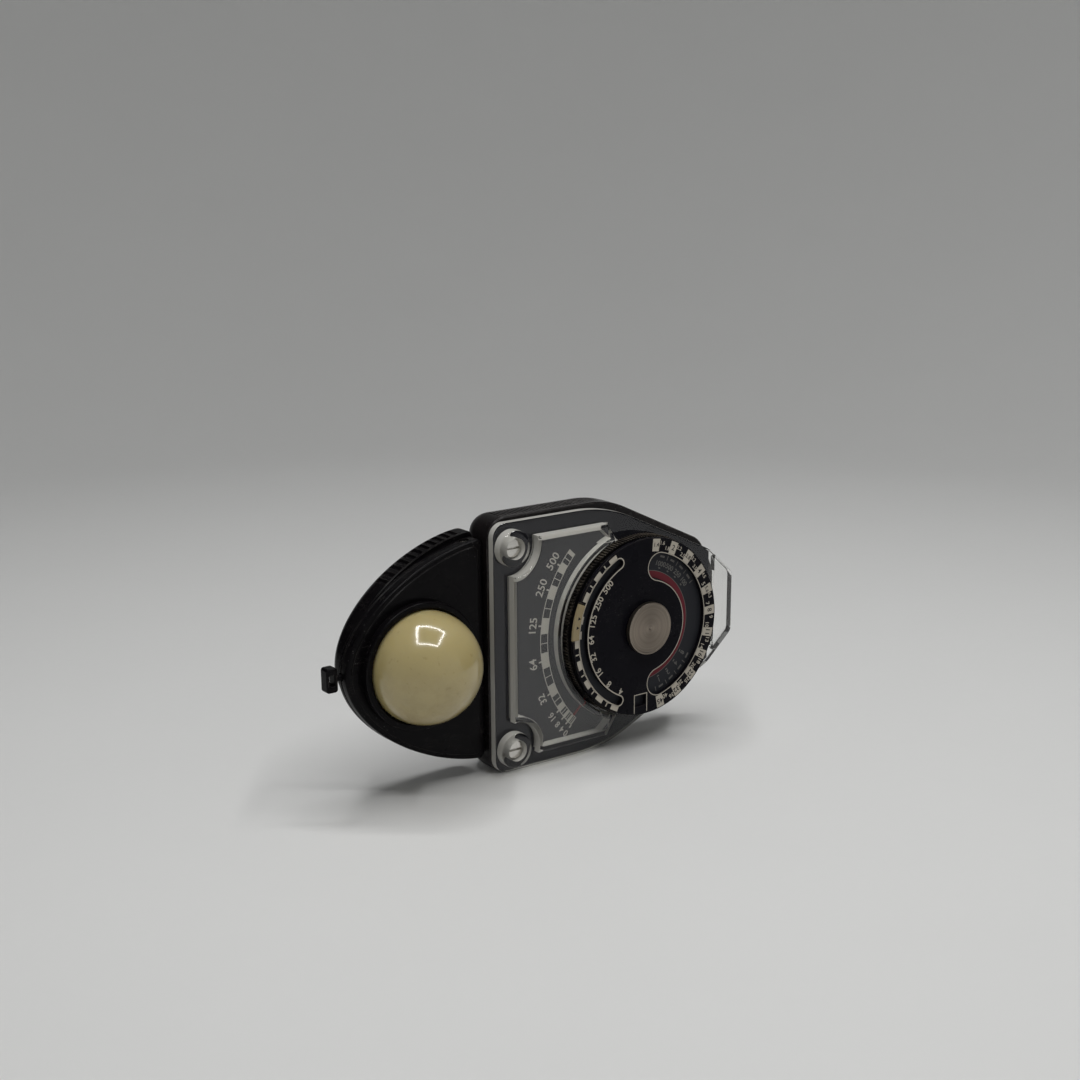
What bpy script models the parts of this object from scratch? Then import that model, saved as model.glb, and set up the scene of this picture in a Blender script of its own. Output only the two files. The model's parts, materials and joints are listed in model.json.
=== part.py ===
# Handheld incident light meter: a swivelling head with a domed light receptor, and a body with a
# clear window over the needle and a round exposure calculator. It stands on one long edge.
# The long axis is X with the head at the low end, the dial faces -Y, and Z is up.
import math

import bmesh
import bpy
from mathutils import Matrix, Vector

# Clearances and shared finish
GAP = 0.0003                 # between pieces that seat on or run beside each other
OVERRUN = 0.001              # how far every cut runs past the face it opens
SIDES = (("upper", 1), ("lower", -1))
SHARP_ANGLE = math.radians(35)
WELD = 0.000002              # points nearer than this are one point
CAP_FLATNESS_SHARE = 0.99
ARC_STEP = math.radians(9)  # largest turn between two points of a rounded corner
ROUND_STEPS = 40             # sides of a large turned piece
SMALL_STEPS = 12             # sides of a pin or a screw

# Overall: everything is measured from the dial's axis, at mid height, on the clear cover's back face
BODY_HALF_HEIGHT = 0.03175
BODY_LEFT = -0.0420          # side of the body that faces the head
BODY_RIGHT = 0.0275
COVER_STEP = 0.00085         # the cover lies this far inside the case's long sides
COVER_HALF_HEIGHT = BODY_HALF_HEIGHT - COVER_STEP
COVER_RIGHT = 0.0330         # clear end that stands out past the case
HEAD_HALF_HEIGHT = 0.0272
HEAD_BODY_GAP = 0.0006

# Case of the body
CASE_DEPTH = 0.0116
CASE_WALL = 0.0018
CASE_REAR_ROUND = 0.0060
CASE_ROUND_STEPS = 5
CASE_CORNER_ROUND = 0.0050
CASE_SIDE_ROUND = 0.0250
CASE_SIDE_CORNER = -0.0061   # where the straight long side would meet the slope
CASE_SLOPE_END = 0.0240
CASE_SLOPE_END_HALF = 0.0173
CASE_SLOPE_ROUND = 0.0070
CASE_END_HALF = 0.0090
CASE_END_ROUND = 0.0040

# Clear cover
FLANGE = 0.0022
PLATEAU = 0.0025
COVER_CORNER_ROUND = 0.0035
COVER_SIDE_ROUND = 0.0380
COVER_SIDE_CORNER = -0.0086
COVER_SLOPE_END = 0.0249
COVER_SLOPE_END_HALF = 0.0152
COVER_SLOPE_ROUND = 0.0080
COVER_END_HALF = 0.0079
COVER_END_ROUND = 0.0025
PLATEAU_MARGIN_LEFT = 0.0043
PLATEAU_MARGIN = 0.0038
PLATEAU_LEFT = BODY_LEFT + PLATEAU_MARGIN_LEFT
PLATEAU_HALF = COVER_HALF_HEIGHT - PLATEAU_MARGIN
PLATEAU_TOP_RIGHT = -0.0100
PLATEAU_TIP_ANGLE = math.radians(106.9)  # where the slanted end meets the dial's cut-out
WINDOW_WALL = 0.0013

# Corner screws of the cover
BOSS_MARGIN_LEFT = 0.0047
BOSS_MARGIN = 0.0059
BOSS_X = BODY_LEFT + BOSS_MARGIN_LEFT
BOSS_HALF = COVER_HALF_HEIGHT - BOSS_MARGIN
BOSS_R = 0.0044
SCALLOP_R = 0.0069
SCREW_SHANK_R = 0.0011
SCREW_HEAD_R = 0.0023
SCREW_HEAD_HEIGHT = 0.0014
SCREW_LENGTH = 0.0072
SCREW_SINK = 0.0030          # depth of the well that the head sits in
SLOT_WIDTH = 0.0006
PILLAR_R = 0.0032
PILLAR_ROOT = 0.0002         # how far a pillar stands into the case's floor
REAR_SCREW_X = 0.0220
REAR_SCREW_SINK = 0.0008
REAR_SCREW_LENGTH = 0.0120
REAR_SOCKET_DEPTH = 0.0013
REAR_POST_R = 0.0029

# Scale plate and needle
PLATE_THICK = 0.0005
PLATE_LAP = 0.0005           # how far the plate's edge lies under the cover's step
PLATE_RIGHT = -0.0080
NEEDLE_AXIS_X = 0.0045
NEEDLE_CLEAR_R = 0.0160
NEEDLE_LENGTH = 0.0308
NEEDLE_STEP_R = 0.0138
NEEDLE_WIDTH = 0.0005
NEEDLE_THICK = 0.0002
NEEDLE_POCKET_DEPTH = 0.0016
NEEDLE_POCKET_RIGHT = -0.0048
NEEDLE_TRAVEL = math.radians(85)
NEEDLE_TAIL = 0.0060
NEEDLE_HUB_R = 0.0013
NEEDLE_HUB_FRONT = 0.0020
NEEDLE_HUB_THICK = 0.0006
NEEDLE_TAIL_WEIGHT_R = 0.0009

# Calculator
DIAL_R = 0.0226
KNURL_R = 0.0229
KNURL_DEPTH = 0.0005
KNURL_TEETH = 96
RUNNING_GAP = 0.0004         # between the cover and the lowest disc
BASE_DISC_THICK = 0.0023
SPEED_DISC_THICK = 0.0007
SPEED_DISC_R = 0.0209
TOP_DISC_THICK = 0.0011
DIAL_CLEAR_R = 0.0234        # cut-out of the raised window round the dial
POST_R = 0.0020
POST_FLANGE_R = 0.0032
POST_FLANGE_THICK = 0.0005
CAP_R = 0.0066
CAP_THICK = 0.0014
CAP_EDGE = 0.0002
CAP_FACE_WALL = 0.0005
FRICTION_WASHER_R = 0.0058
FRICTION_WASHER_THICK = 0.0005
SLOT_INNER_R = 0.0184
SLOT_OUTER_R = 0.0206
SLOT_HALF_ANGLE = math.radians(64)
KIDNEY_INNER_R = 0.0121
KIDNEY_OUTER_R = 0.0188
KIDNEY_HALF_ANGLE = math.radians(75)
FILM_WINDOW_X = -0.0016
FILM_WINDOW_WIDTH = 0.0034
FILM_WINDOW_TOP = -0.0175
FILM_WINDOW_HEIGHT = 0.0028
TAB_INNER_R = 0.0212
TAB_OUTER_R = 0.0231
TAB_ANGLE = math.radians(167)
TAB_HALF_ANGLE = math.radians(11.5)
TAB_SEAT_DEPTH = 0.0006
TAB_RISE = 0.0005

# Swivel between body and head, along X
SWIVEL_DEPTH = 0.0060        # axis behind the cover's back face
SPINDLE_R = 0.0022
SPINDLE_BORE_R = 0.0013
SPINDLE_FLANGE_R = 0.0032
SPINDLE_FLANGE_THICK = 0.0012
SPINDLE_BOSS_R = 0.0036
SPINDLE_BOSS_LENGTH = 0.0024
SPINDLE_BOSS_ROOT = 0.0004
SWIVEL_WASHER_R = 0.0033
SWIVEL_WASHER_THICK = 0.0006
SWIVEL_NUT_R = 0.0036
SWIVEL_NUT_THICK = 0.0018
SPINDLE_TAIL = 0.0010

# Head shells
HEAD_FACE_DEPTH = 0.0010     # the head's face lies this far behind the cover's back face
HEAD_FRONT_DEPTH = 0.0042
HEAD_REAR_DEPTH = 0.0071
HEAD_WALL = 0.0018
HEAD_FACE_WALL = 0.0012
HEAD_EDGE = 0.0008
HEAD_REAR_ROUND = 0.0035
HEAD_ROUND_STEPS = 4
HEAD_REAR_GROWTH = 0.0007
HEAD_REAR_RISE = 0.0005      # the rear shell sits a little higher than the front one
HEAD_REAR_SHORTER = 0.0020   # the rear shell ends before the front one at the tip
HEAD_NOSE_POWER = 1.6
HEAD_SIDE_POWER = 1.8
HEAD_OUTLINE_STEPS = 18
GRIP_GROOVES = 11
GRIP_PITCH = 0.0019
GRIP_GROOVE = 0.0010
GRIP_DEPTH = 0.0006
GRIP_FIRST = -0.0470
GRIP_LENGTH = 0.0042
GRIP_START = 0.0005
HEAD_SCREW_X = -0.0498
HEAD_SCREW_INSET = 0.0077     # from the middle of the head's long edge
HEAD_POST_R = 0.0029
HEAD_SCREW_LENGTH = 0.0092
SIDE_SCREW_X = -0.0462
SIDE_SCREW_HEAD_R = 0.0010
SIDE_SCREW_SHANK_R = 0.0006
SIDE_SCREW_HEAD_HEIGHT = 0.0005
SIDE_SCREW_LENGTH = 0.0024

# Receptor
DOME_R = 0.0134
DOME_WALL = 0.0012
DOME_CENTRE_OUT = 0.0016     # centre of the dome in front of the cover's back face
DOME_SKIRT = 0.0032
DOME_RINGS = 10
DOME_INNER_RINGS = 6
BEZEL_WIDTH = 0.0016
BEZEL_HEIGHT = 0.0021
BEZEL_NECK_WALL = 0.0009
BEZEL_NECK_LENGTH = 0.0025
BEZEL_SEAT_LAP = 0.0010      # how far the seat reaches in under the dome's skirt
BEZEL_EDGE = 0.0004
BEZEL_TO_JOINT = 0.0031      # the head's face beside the bezel, towards the body
BEZEL_TO_TIP = 0.0037
CELL_INSET = 0.0002          # the cell is this much smaller than the dome
CELL_THICK = 0.0010
CONTACT_WIDTH = 0.0020
CONTACT_THICK = 0.0004
CELL_SEAT_WIDTH = 0.0037
CELL_RIM_THICK = 0.0008
LEAD_R = 0.00035
LEAD_OFFSET = 0.0006
LEAD_REACH = 0.0024          # how far the leads stand out of the spindle's body end

# Cord lug at the head's tip
LUG_DEPTH = 0.0037
LUG_NECK_R = 0.0007
LUG_NECK_LENGTH = 0.0012
LUG_LENGTH = 0.0029
LUG_HALF_HEIGHT = 0.0029
LUG_THICK = 0.0030
LUG_ROUND = 0.0007
LUG_HOLE_ROUND = 0.0004
LUG_HOLE_LENGTH = 0.0013
LUG_HOLE_HEIGHT = 0.0026
LUG_RIVET_R = 0.0013
LUG_RIVET_THICK = 0.0005

# Movement
MAGNET_R = 0.0136
MAGNET_BORE_R = 0.0076
MAGNET_FRONT = 0.0040
MAGNET_HEIGHT = 0.0040
MAGNET_SLOT = 0.0040
CORE_R = 0.0048
CORE_LUG_WIDTH = 0.0022
CORE_INSET = 0.0001
COIL_INNER_R = 0.0053
COIL_OUTER_R = 0.0070
COIL_WIDTH = 0.0030
COIL_BAR = 0.0004
COIL_RISE = 0.0006           # how far the coil stands past the magnet at each end
SHAFT_R = 0.0005
SHAFT_REAR_LENGTH = 0.0004
FRONT_PIVOT = 0.0018
BRIDGE_FRONT = 0.0007
BRIDGE_THICK = 0.0008
BRIDGE_HALF_WIDTH = 0.0028
BRIDGE_POST_HALF = 0.0162
BRIDGE_POST_R = 0.0016
MOVEMENT_PLATE_R = 0.0186
MOVEMENT_PLATE_THICK = 0.0008
MAGNET_SEAT_OUTER_R = 0.0128
MAGNET_SEAT_INNER_R = 0.0092
PIVOT_SCREW_R = 0.0010
PIVOT_SCREW_LENGTH = 0.0010
PIVOT_SCREW_REAR_LENGTH = 0.0005
COLLET_R = 0.0009
COLLET_FRONT = 0.0028
COLLET_THICK = 0.0003
HAIRSPRING_R = 0.0042
HAIRSPRING_INNER_R = 0.0014
HAIRSPRING_TURNS = 3
HAIRSPRING_WIRE_R = 0.00012
HAIRSPRING_POINTS = 14
STUD_R = 0.0003
TERMINAL_X = -0.0290
TERMINAL_SIZE = 0.0042
TERMINAL_THICK = 0.0016

# Levels along Y, from front (negative) to back
COVER_FACE = -FLANGE
PLATEAU_FACE = -(FLANGE + PLATEAU)
BASE_DISC_BACK = COVER_FACE - RUNNING_GAP
BASE_DISC_FACE = BASE_DISC_BACK - BASE_DISC_THICK
SPEED_DISC_BACK = BASE_DISC_FACE - GAP
SPEED_DISC_FACE = SPEED_DISC_BACK - SPEED_DISC_THICK
TOP_DISC_BACK = SPEED_DISC_FACE - GAP
TOP_DISC_FACE = TOP_DISC_BACK - TOP_DISC_THICK
CAP_BACK = TOP_DISC_FACE - GAP
CAP_FACE = CAP_BACK - CAP_THICK
CASE_FRONT = GAP
CASE_BACK = CASE_FRONT + CASE_DEPTH
CASE_FLOOR = CASE_BACK - CASE_WALL
HEAD_RIGHT = BODY_LEFT - HEAD_BODY_GAP
HEAD_SCREW_HALF = HEAD_HALF_HEIGHT - HEAD_SCREW_INSET
HEAD_FRONT_BACK = HEAD_FACE_DEPTH + HEAD_FRONT_DEPTH
HEAD_REAR_FRONT = HEAD_FRONT_BACK + GAP
HEAD_BACK = HEAD_REAR_FRONT + HEAD_REAR_DEPTH
DOME_FRONT = -(DOME_CENTRE_OUT + DOME_R)
PLATE_FACE = -PLATE_THICK
BEZEL_BACK = HEAD_FACE_DEPTH - GAP
BEZEL_FRONT = BEZEL_BACK - BEZEL_HEIGHT
BEZEL_NECK_BACK = BEZEL_BACK + BEZEL_NECK_LENGTH
CONTACT_FRONT = BEZEL_NECK_BACK + GAP
CELL_FRONT = CONTACT_FRONT + CONTACT_THICK + GAP
CELL_SPRING_FRONT = CELL_FRONT + CELL_THICK + GAP
CELL_SEAT_FRONT = CELL_SPRING_FRONT + CONTACT_THICK + GAP
MAGNET_BACK = MAGNET_FRONT + MAGNET_HEIGHT
COIL_FRONT = MAGNET_FRONT - COIL_RISE
COIL_BACK = MAGNET_BACK + COIL_RISE
MOVEMENT_PLATE_BACK = CASE_FLOOR - GAP
MOVEMENT_PLATE_FACE = MOVEMENT_PLATE_BACK - MOVEMENT_PLATE_THICK

# Radii of the receptor's rings, all from the dome
BEZEL_BORE_R = DOME_R + GAP
BEZEL_R = BEZEL_BORE_R + BEZEL_WIDTH
BEZEL_NECK_R = BEZEL_BORE_R + BEZEL_NECK_WALL
BEZEL_SEAT_R = DOME_R - BEZEL_SEAT_LAP
CELL_R = DOME_R - CELL_INSET
CONTACT_RING_INNER_R = CELL_R - CONTACT_WIDTH
CELL_SEAT_INNER_R = CELL_R - CELL_SEAT_WIDTH

# Length of the head, from the receptor that it carries
DOME_X = HEAD_RIGHT - BEZEL_TO_JOINT - BEZEL_R
HEAD_TIP = DOME_X - BEZEL_R - BEZEL_TO_TIP
HEAD_LENGTH = HEAD_RIGHT - HEAD_TIP
LUG_TIP = HEAD_TIP - GAP - LUG_NECK_LENGTH - LUG_LENGTH

# Places along the swivel's axis, from head to body
SPINDLE_START = HEAD_RIGHT - HEAD_WALL - GAP - SPINDLE_FLANGE_THICK
BOSS_END = BODY_LEFT + CASE_WALL + SPINDLE_BOSS_LENGTH
SWIVEL_WASHER_START = BOSS_END + GAP
SWIVEL_NUT_START = SWIVEL_WASHER_START + SWIVEL_WASHER_THICK + GAP
SPINDLE_END = SWIVEL_NUT_START + SWIVEL_NUT_THICK + SPINDLE_TAIL

# Placing: the origin lies under the middle of the bounding box
DIAL_AT = Vector((-(LUG_TIP + COVER_RIGHT) / 2, -(DOME_FRONT + HEAD_BACK) / 2, BODY_HALF_HEIGHT))

# Every shape that a Boolean uses goes in the second collection
for old in list(bpy.data.objects):
    bpy.data.objects.remove(old, do_unlink=True)
parts = bpy.data.collections.new("light_meter")
cutters = bpy.data.collections.new("cutters")
bpy.context.scene.collection.children.link(parts)
bpy.context.scene.collection.children.link(cutters)
cutters.hide_render = True


def material(name, colour, roughness, metallic=0.0, transmission=0.0):
    made = bpy.data.materials.new(name)
    made.use_nodes = True
    shader = made.node_tree.nodes["Principled BSDF"]
    shader.inputs["Base Color"].default_value = (*colour, 1)
    shader.inputs["Roughness"].default_value = roughness
    shader.inputs["Metallic"].default_value = metallic
    shader.inputs["Transmission Weight"].default_value = transmission
    return made


BLACK = material("black_plastic", (0.012, 0.011, 0.012), 0.32)
CLEAR = material("clear_acrylic", (0.92, 0.93, 0.92), 0.04, transmission=1.0)
OPAL = material("opal_plastic", (0.62, 0.56, 0.36), 0.18)
CREAM = material("cream_plastic", (0.50, 0.42, 0.26), 0.45)
CHARCOAL = material("charcoal_enamel", (0.030, 0.030, 0.035), 0.5)
GREY_METAL = material("turned_metal", (0.36, 0.33, 0.29), 0.35, 1.0)
STEEL = material("plated_steel", (0.62, 0.61, 0.59), 0.28, 1.0)
BRASS = material("brass", (0.60, 0.44, 0.18), 0.35, 1.0)
MAGNET_STEEL = material("magnet_steel", (0.16, 0.16, 0.17), 0.5, 1.0)
COPPER = material("enamelled_copper", (0.45, 0.17, 0.08), 0.4, 1.0)
SELENIUM = material("cell_grey", (0.10, 0.10, 0.11), 0.3, 0.6)
RED_ENAMEL = material("needle_red", (0.28, 0.03, 0.03), 0.5)
FIBRE = material("brown_fibre", (0.12, 0.06, 0.03), 0.7)


# Points of an outline, in X and Z

def arc(centre, radius, start, end):
    steps = max(1, math.ceil(abs(end - start) / ARC_STEP))
    angles = [start + (end - start) * i / steps for i in range(steps + 1)]
    return [(centre[0] + radius * math.cos(a), centre[1] + radius * math.sin(a)) for a in angles]


def circle(centre, radius, steps=ROUND_STEPS):
    angles = [math.tau * i / steps for i in range(steps)]
    return [(centre[0] + radius * math.cos(a), centre[1] + radius * math.sin(a)) for a in angles]


def inset_corners(corners, inset):
    """Moves each side of a convex outline inwards, and takes the same off its corner radii."""
    moved = []
    count = len(corners)
    for i, (x, z, radius) in enumerate(corners):
        here = Vector((x, z))
        before = (here - Vector(corners[i - 1][:2])).normalized()
        after = (Vector(corners[(i + 1) % count][:2]) - here).normalized()
        inward = Vector((-before.y, before.x)) + Vector((-after.y, after.x))
        turn = 1 + before.dot(after)
        here += inward * (inset / turn)
        moved.append((here.x, here.y, max(radius - inset, GAP)))
    return moved


def rounded(corners, inset=0.0):
    """An outline that runs anticlockwise through corners (x, z, radius), each rounded by its radius."""
    corners = inset_corners(corners, inset)
    points = []
    count = len(corners)
    for i, (x, z, radius) in enumerate(corners):
        here = Vector((x, z))
        before = (here - Vector(corners[i - 1][:2])).normalized()
        after = (Vector(corners[(i + 1) % count][:2]) - here).normalized()
        turn = before.angle_signed(after)
        reach = radius * math.tan(abs(turn) / 2)
        start = here - before * reach
        side = Vector((-before.y, before.x))
        centre = start + side * radius
        first = math.atan2(start.y - centre.y, start.x - centre.x)
        points += arc(centre, radius, first, first + abs(turn))
    return points


def mirrored(upper):
    """The corners of an outline that is alike above and below, from its upper half, right to left."""
    lower = [(x, -z, radius) for x, z, radius in reversed(upper)]
    return upper + lower


CASE_CORNERS = mirrored([
    (BODY_RIGHT, CASE_END_HALF, CASE_END_ROUND),
    (CASE_SLOPE_END, CASE_SLOPE_END_HALF, CASE_SLOPE_ROUND),
    (CASE_SIDE_CORNER, BODY_HALF_HEIGHT, CASE_SIDE_ROUND),
    (BODY_LEFT, BODY_HALF_HEIGHT, CASE_CORNER_ROUND),
])
COVER_CORNERS = mirrored([
    (COVER_RIGHT, COVER_END_HALF, COVER_END_ROUND),
    (COVER_SLOPE_END, COVER_SLOPE_END_HALF, COVER_SLOPE_ROUND),
    (COVER_SIDE_CORNER, COVER_HALF_HEIGHT, COVER_SIDE_ROUND),
    (BODY_LEFT, COVER_HALF_HEIGHT, COVER_CORNER_ROUND),
])


def head_outline(length, half_height, rise=0.0, inset=0.0):
    """The head's outline: a straight right side and a nose whose sides follow a power law."""
    right = HEAD_RIGHT - inset
    reach = length - 2 * inset
    half = half_height - inset
    upper = []
    for i in range(HEAD_OUTLINE_STEPS + 1):
        share = math.sin(math.pi / 2 * i / HEAD_OUTLINE_STEPS)
        height = half * (1 - share ** HEAD_NOSE_POWER) ** (1 / HEAD_SIDE_POWER)
        upper.append((right - reach * share, height))
    lower = [(x, -z) for x, z in reversed(upper[:-1])]
    return [(x, z + rise) for x, z in upper + lower]


def head_side_height(x, length, half_height):
    share = min(max((HEAD_RIGHT - x) / length, 0), 1)
    return half_height * (1 - share ** HEAD_NOSE_POWER) ** (1 / HEAD_SIDE_POWER)


def outline_height(points, x):
    """Height of the upper side of an outline at x."""
    best = 0.0
    for (x0, z0), (x1, z1) in zip(points, points[1:] + points[:1]):
        if x0 != x1 and min(x0, x1) <= x <= max(x0, x1):
            best = max(best, z0 + (z1 - z0) * (x - x0) / (x1 - x0))
    return best


# Making objects

def finish(obj, name, colour, home=parts):
    for old in list(obj.users_collection):
        old.objects.unlink(obj)
    home.objects.link(obj)
    obj.name = name
    obj.data.name = name
    obj.data.materials.clear()
    if colour:
        obj.data.materials.append(colour)
    if home is cutters:
        obj.hide_render = True
        obj.display_type = "WIRE"
    return obj


def slab(name, colour, outline, front, back, holes=(), home=parts):
    """A flat piece between two levels of Y, from an outline and any holes in X and Z."""
    curve = bpy.data.curves.new(name, "CURVE")
    curve.dimensions = "2D"
    curve.fill_mode = "BOTH"
    curve.extrude = (back - front) / 2
    for points in (outline, *holes):
        spline = curve.splines.new("POLY")
        spline.points.add(len(points) - 1)
        for point, (x, z) in zip(spline.points, points):
            point.co = (x, z, 0, 1)
        spline.use_cyclic_u = True
    flat = bpy.data.objects.new(name, curve)
    bpy.context.scene.collection.objects.link(flat)
    flat.rotation_euler = (math.pi / 2, 0, 0)
    flat.location = DIAL_AT + Vector((0, (front + back) / 2, 0))
    return finish(as_mesh(flat, whole_caps=not holes), name, colour, home)


def as_mesh(obj, whole_caps=False):
    """Turns a curve object into a mesh object with its caps welded, each as one face if asked."""
    bpy.context.view_layer.update()
    evaluated = obj.evaluated_get(bpy.context.evaluated_depsgraph_get())
    mesh = bpy.data.meshes.new_from_object(evaluated)
    shape = bmesh.new()
    shape.from_mesh(mesh)
    bmesh.ops.remove_doubles(shape, verts=shape.verts, dist=WELD)
    bmesh.ops.recalc_face_normals(shape, faces=shape.faces)
    if whole_caps:
        for way in (1, -1):
            cap = [face for face in shape.faces if face.normal.z * way > CAP_FLATNESS_SHARE]
            bmesh.ops.dissolve_faces(shape, faces=cap, use_verts=False)
    shape.to_mesh(mesh)
    shape.free()
    made = bpy.data.objects.new(obj.name, mesh)
    made.matrix_world = obj.matrix_world
    bpy.context.scene.collection.objects.link(made)
    bpy.data.objects.remove(obj, do_unlink=True)
    return made


TURNS = {
    "-Y": (math.pi / 2, 0, 0),
    "Y": (-math.pi / 2, 0, 0),
    "X": (0, math.pi / 2, 0),
    "Z": (0, 0, 0),
    "-Z": (math.pi, 0, 0),
}


def turned(name, colour, profile, place, axis="-Y", steps=ROUND_STEPS, home=parts):
    """A turned piece: profile points are (radius, height), down the outer side, and close on
    themselves or on the axis. Height runs along the named axis from place."""
    mesh = bpy.data.meshes.new(name)
    closed = profile[0][0] > 0
    edges = [(i, i + 1) for i in range(len(profile) - 1)]
    if closed:
        edges.append((len(profile) - 1, 0))
    mesh.from_pydata([(radius, 0, height) for radius, height in profile], edges, [])
    obj = bpy.data.objects.new(name, mesh)
    bpy.context.scene.collection.objects.link(obj)
    screw = obj.modifiers.new("turn", "SCREW")
    screw.axis = "Z"
    screw.steps = steps
    screw.render_steps = steps
    screw.use_merge_vertices = True
    screw.merge_threshold = WELD
    screw.use_smooth_shade = True
    obj.rotation_euler = TURNS[axis]
    obj.location = DIAL_AT + Vector(place)
    return finish(obj, name, colour, home)


def rod(radius, top, bottom=0.0):
    return [(0, top), (radius, top), (radius, bottom), (0, bottom)]


def ring(outer, inner, top, bottom=0.0):
    return [(inner, top), (outer, top), (outer, bottom), (inner, bottom)]


def box(name, colour, low, high, home=parts, spin=0.0):
    """A block between two corners, turned about Y by spin at its middle."""
    mesh = bpy.data.meshes.new(name)
    shape = bmesh.new()
    size = Vector(high) - Vector(low)
    bmesh.ops.create_cube(shape, size=1.0, matrix=Matrix.Diagonal((*size, 1)))
    shape.to_mesh(mesh)
    shape.free()
    obj = bpy.data.objects.new(name, mesh)
    bpy.context.scene.collection.objects.link(obj)
    obj.location = DIAL_AT + (Vector(low) + Vector(high)) / 2
    obj.rotation_euler = (0, spin, 0)
    return finish(obj, name, colour, home)


def cut(obj, cutter):
    step = obj.modifiers.new("cut " + cutter.name, "BOOLEAN")
    step.operation = "DIFFERENCE"
    step.object = cutter


def fuse(obj, other):
    step = obj.modifiers.new("join " + other.name, "BOOLEAN")
    step.operation = "UNION"
    step.object = other


def round_rim(obj, outline_at, radius, steps, to_back=True):
    """Carries a slab on past its front or back face, drawing its outline in along a quarter circle.
    outline_at(inset) gives the slab's outline moved inwards; one step makes a chamfer."""
    way = -1 if to_back else 1
    shape = bmesh.new()
    shape.from_mesh(obj.data)
    cap = max(shape.faces, key=lambda face: face.calc_center_median().z * way)
    start = cap.verts[0].co.z
    here = outline_at(0)
    for step in range(1, steps + 1):
        angle = math.pi / 2 * step / steps
        cap = bmesh.ops.extrude_discrete_faces(shape, faces=[cap])["faces"][0]
        level = start + way * radius * math.sin(angle)
        drawn_in = outline_at(radius * (1 - math.cos(angle)))
        for vert in cap.verts:
            nearest = min(range(len(here)), key=lambda i: (Vector(here[i]) - vert.co.xy).length)
            vert.co = (*drawn_in[nearest], level)
        here = drawn_in
    bmesh.ops.recalc_face_normals(shape, faces=shape.faces)
    shape.to_mesh(obj.data)
    shape.free()


def use_manifold(obj):
    """For a shell with many cuts, which the exact solver leaves open."""
    for step in obj.modifiers:
        if step.type == "BOOLEAN":
            step.solver = "MANIFOLD"


def joined(pieces):
    """One cutter from several separate shapes that never touch, such as a row of grooves."""
    bpy.context.view_layer.update()
    graph = bpy.context.evaluated_depsgraph_get()
    shape = bmesh.new()
    for piece in pieces:
        mesh = bpy.data.meshes.new_from_object(piece.evaluated_get(graph))
        mesh.transform(piece.matrix_world)
        shape.from_mesh(mesh)
        bpy.data.meshes.remove(mesh)
    for piece in pieces:
        bpy.data.objects.remove(piece, do_unlink=True)
    whole = bpy.data.meshes.new("tool")
    shape.to_mesh(whole)
    shape.free()
    obj = bpy.data.objects.new("tool", whole)
    bpy.context.scene.collection.objects.link(obj)
    return finish(obj, "tool", None, cutters)


def wire(name, colour, points, radius, home=parts):
    """A round wire through points measured from the dial's axis."""
    curve = bpy.data.curves.new(name, "CURVE")
    curve.dimensions = "3D"
    curve.bevel_depth = radius
    curve.bevel_resolution = 0
    curve.use_fill_caps = True
    spline = curve.splines.new("POLY")
    spline.points.add(len(points) - 1)
    for point, place in zip(spline.points, points):
        point.co = (*(DIAL_AT + Vector(place)), 1)
    run = bpy.data.objects.new(name, curve)
    bpy.context.scene.collection.objects.link(run)
    return finish(as_mesh(run), name, colour, home)


def tool(make, *given, **named):
    """A shape that only cuts or joins, kept with the other cutters."""
    return make("tool", None, *given, home=cutters, **named)


def axis_at(name, place):
    """An empty on a joint's axis."""
    empty = bpy.data.objects.new(name, None)
    empty.location = DIAL_AT + Vector(place)
    empty.empty_display_size = POST_R
    parts.objects.link(empty)
    return empty


def hang(empty, objects):
    bpy.context.view_layer.update()
    for obj in objects:
        obj.parent = empty
        obj.matrix_parent_inverse = empty.matrix_world.inverted()


def swing(objects, place, angle):
    """Turns objects about Y round a place."""
    bpy.context.view_layer.update()
    centre = Matrix.Translation(DIAL_AT + Vector(place))
    turn = centre @ Matrix.Rotation(angle, 4, "Y") @ centre.inverted()
    for obj in objects:
        obj.matrix_world = turn @ obj.matrix_world


def smooth(obj):
    obj.data.shade_smooth()
    obj.data.set_sharp_from_angle(angle=SHARP_ANGLE)


def screw_profile(head_r, head_height, shank_r, length):
    return [(0, 0), (head_r, 0), (head_r, -head_height), (shank_r, -head_height), (shank_r, -length),
            (0, -length)]


def slotted_screw(name, place, axis, head_r, head_height, shank_r, length, home=parts):
    """A slotted screw whose head's outer face is at place; its slot lies across X and its axis."""
    body = turned(name, STEEL, screw_profile(head_r, head_height, shank_r, length), place, axis,
                  SMALL_STEPS, home)
    reach = head_r + OVERRUN
    depth = head_height / 2
    half = SLOT_WIDTH / 2
    size = (reach, depth, half) if axis in ("Y", "-Y") else (reach, half, depth)
    low = [place[i] - size[i] for i in range(3)]
    high = [place[i] + size[i] for i in range(3)]
    cut(body, tool(box, low, high))
    return body


# Case of the body

def case_outline(inset=0.0):
    return rounded(CASE_CORNERS, inset)


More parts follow.
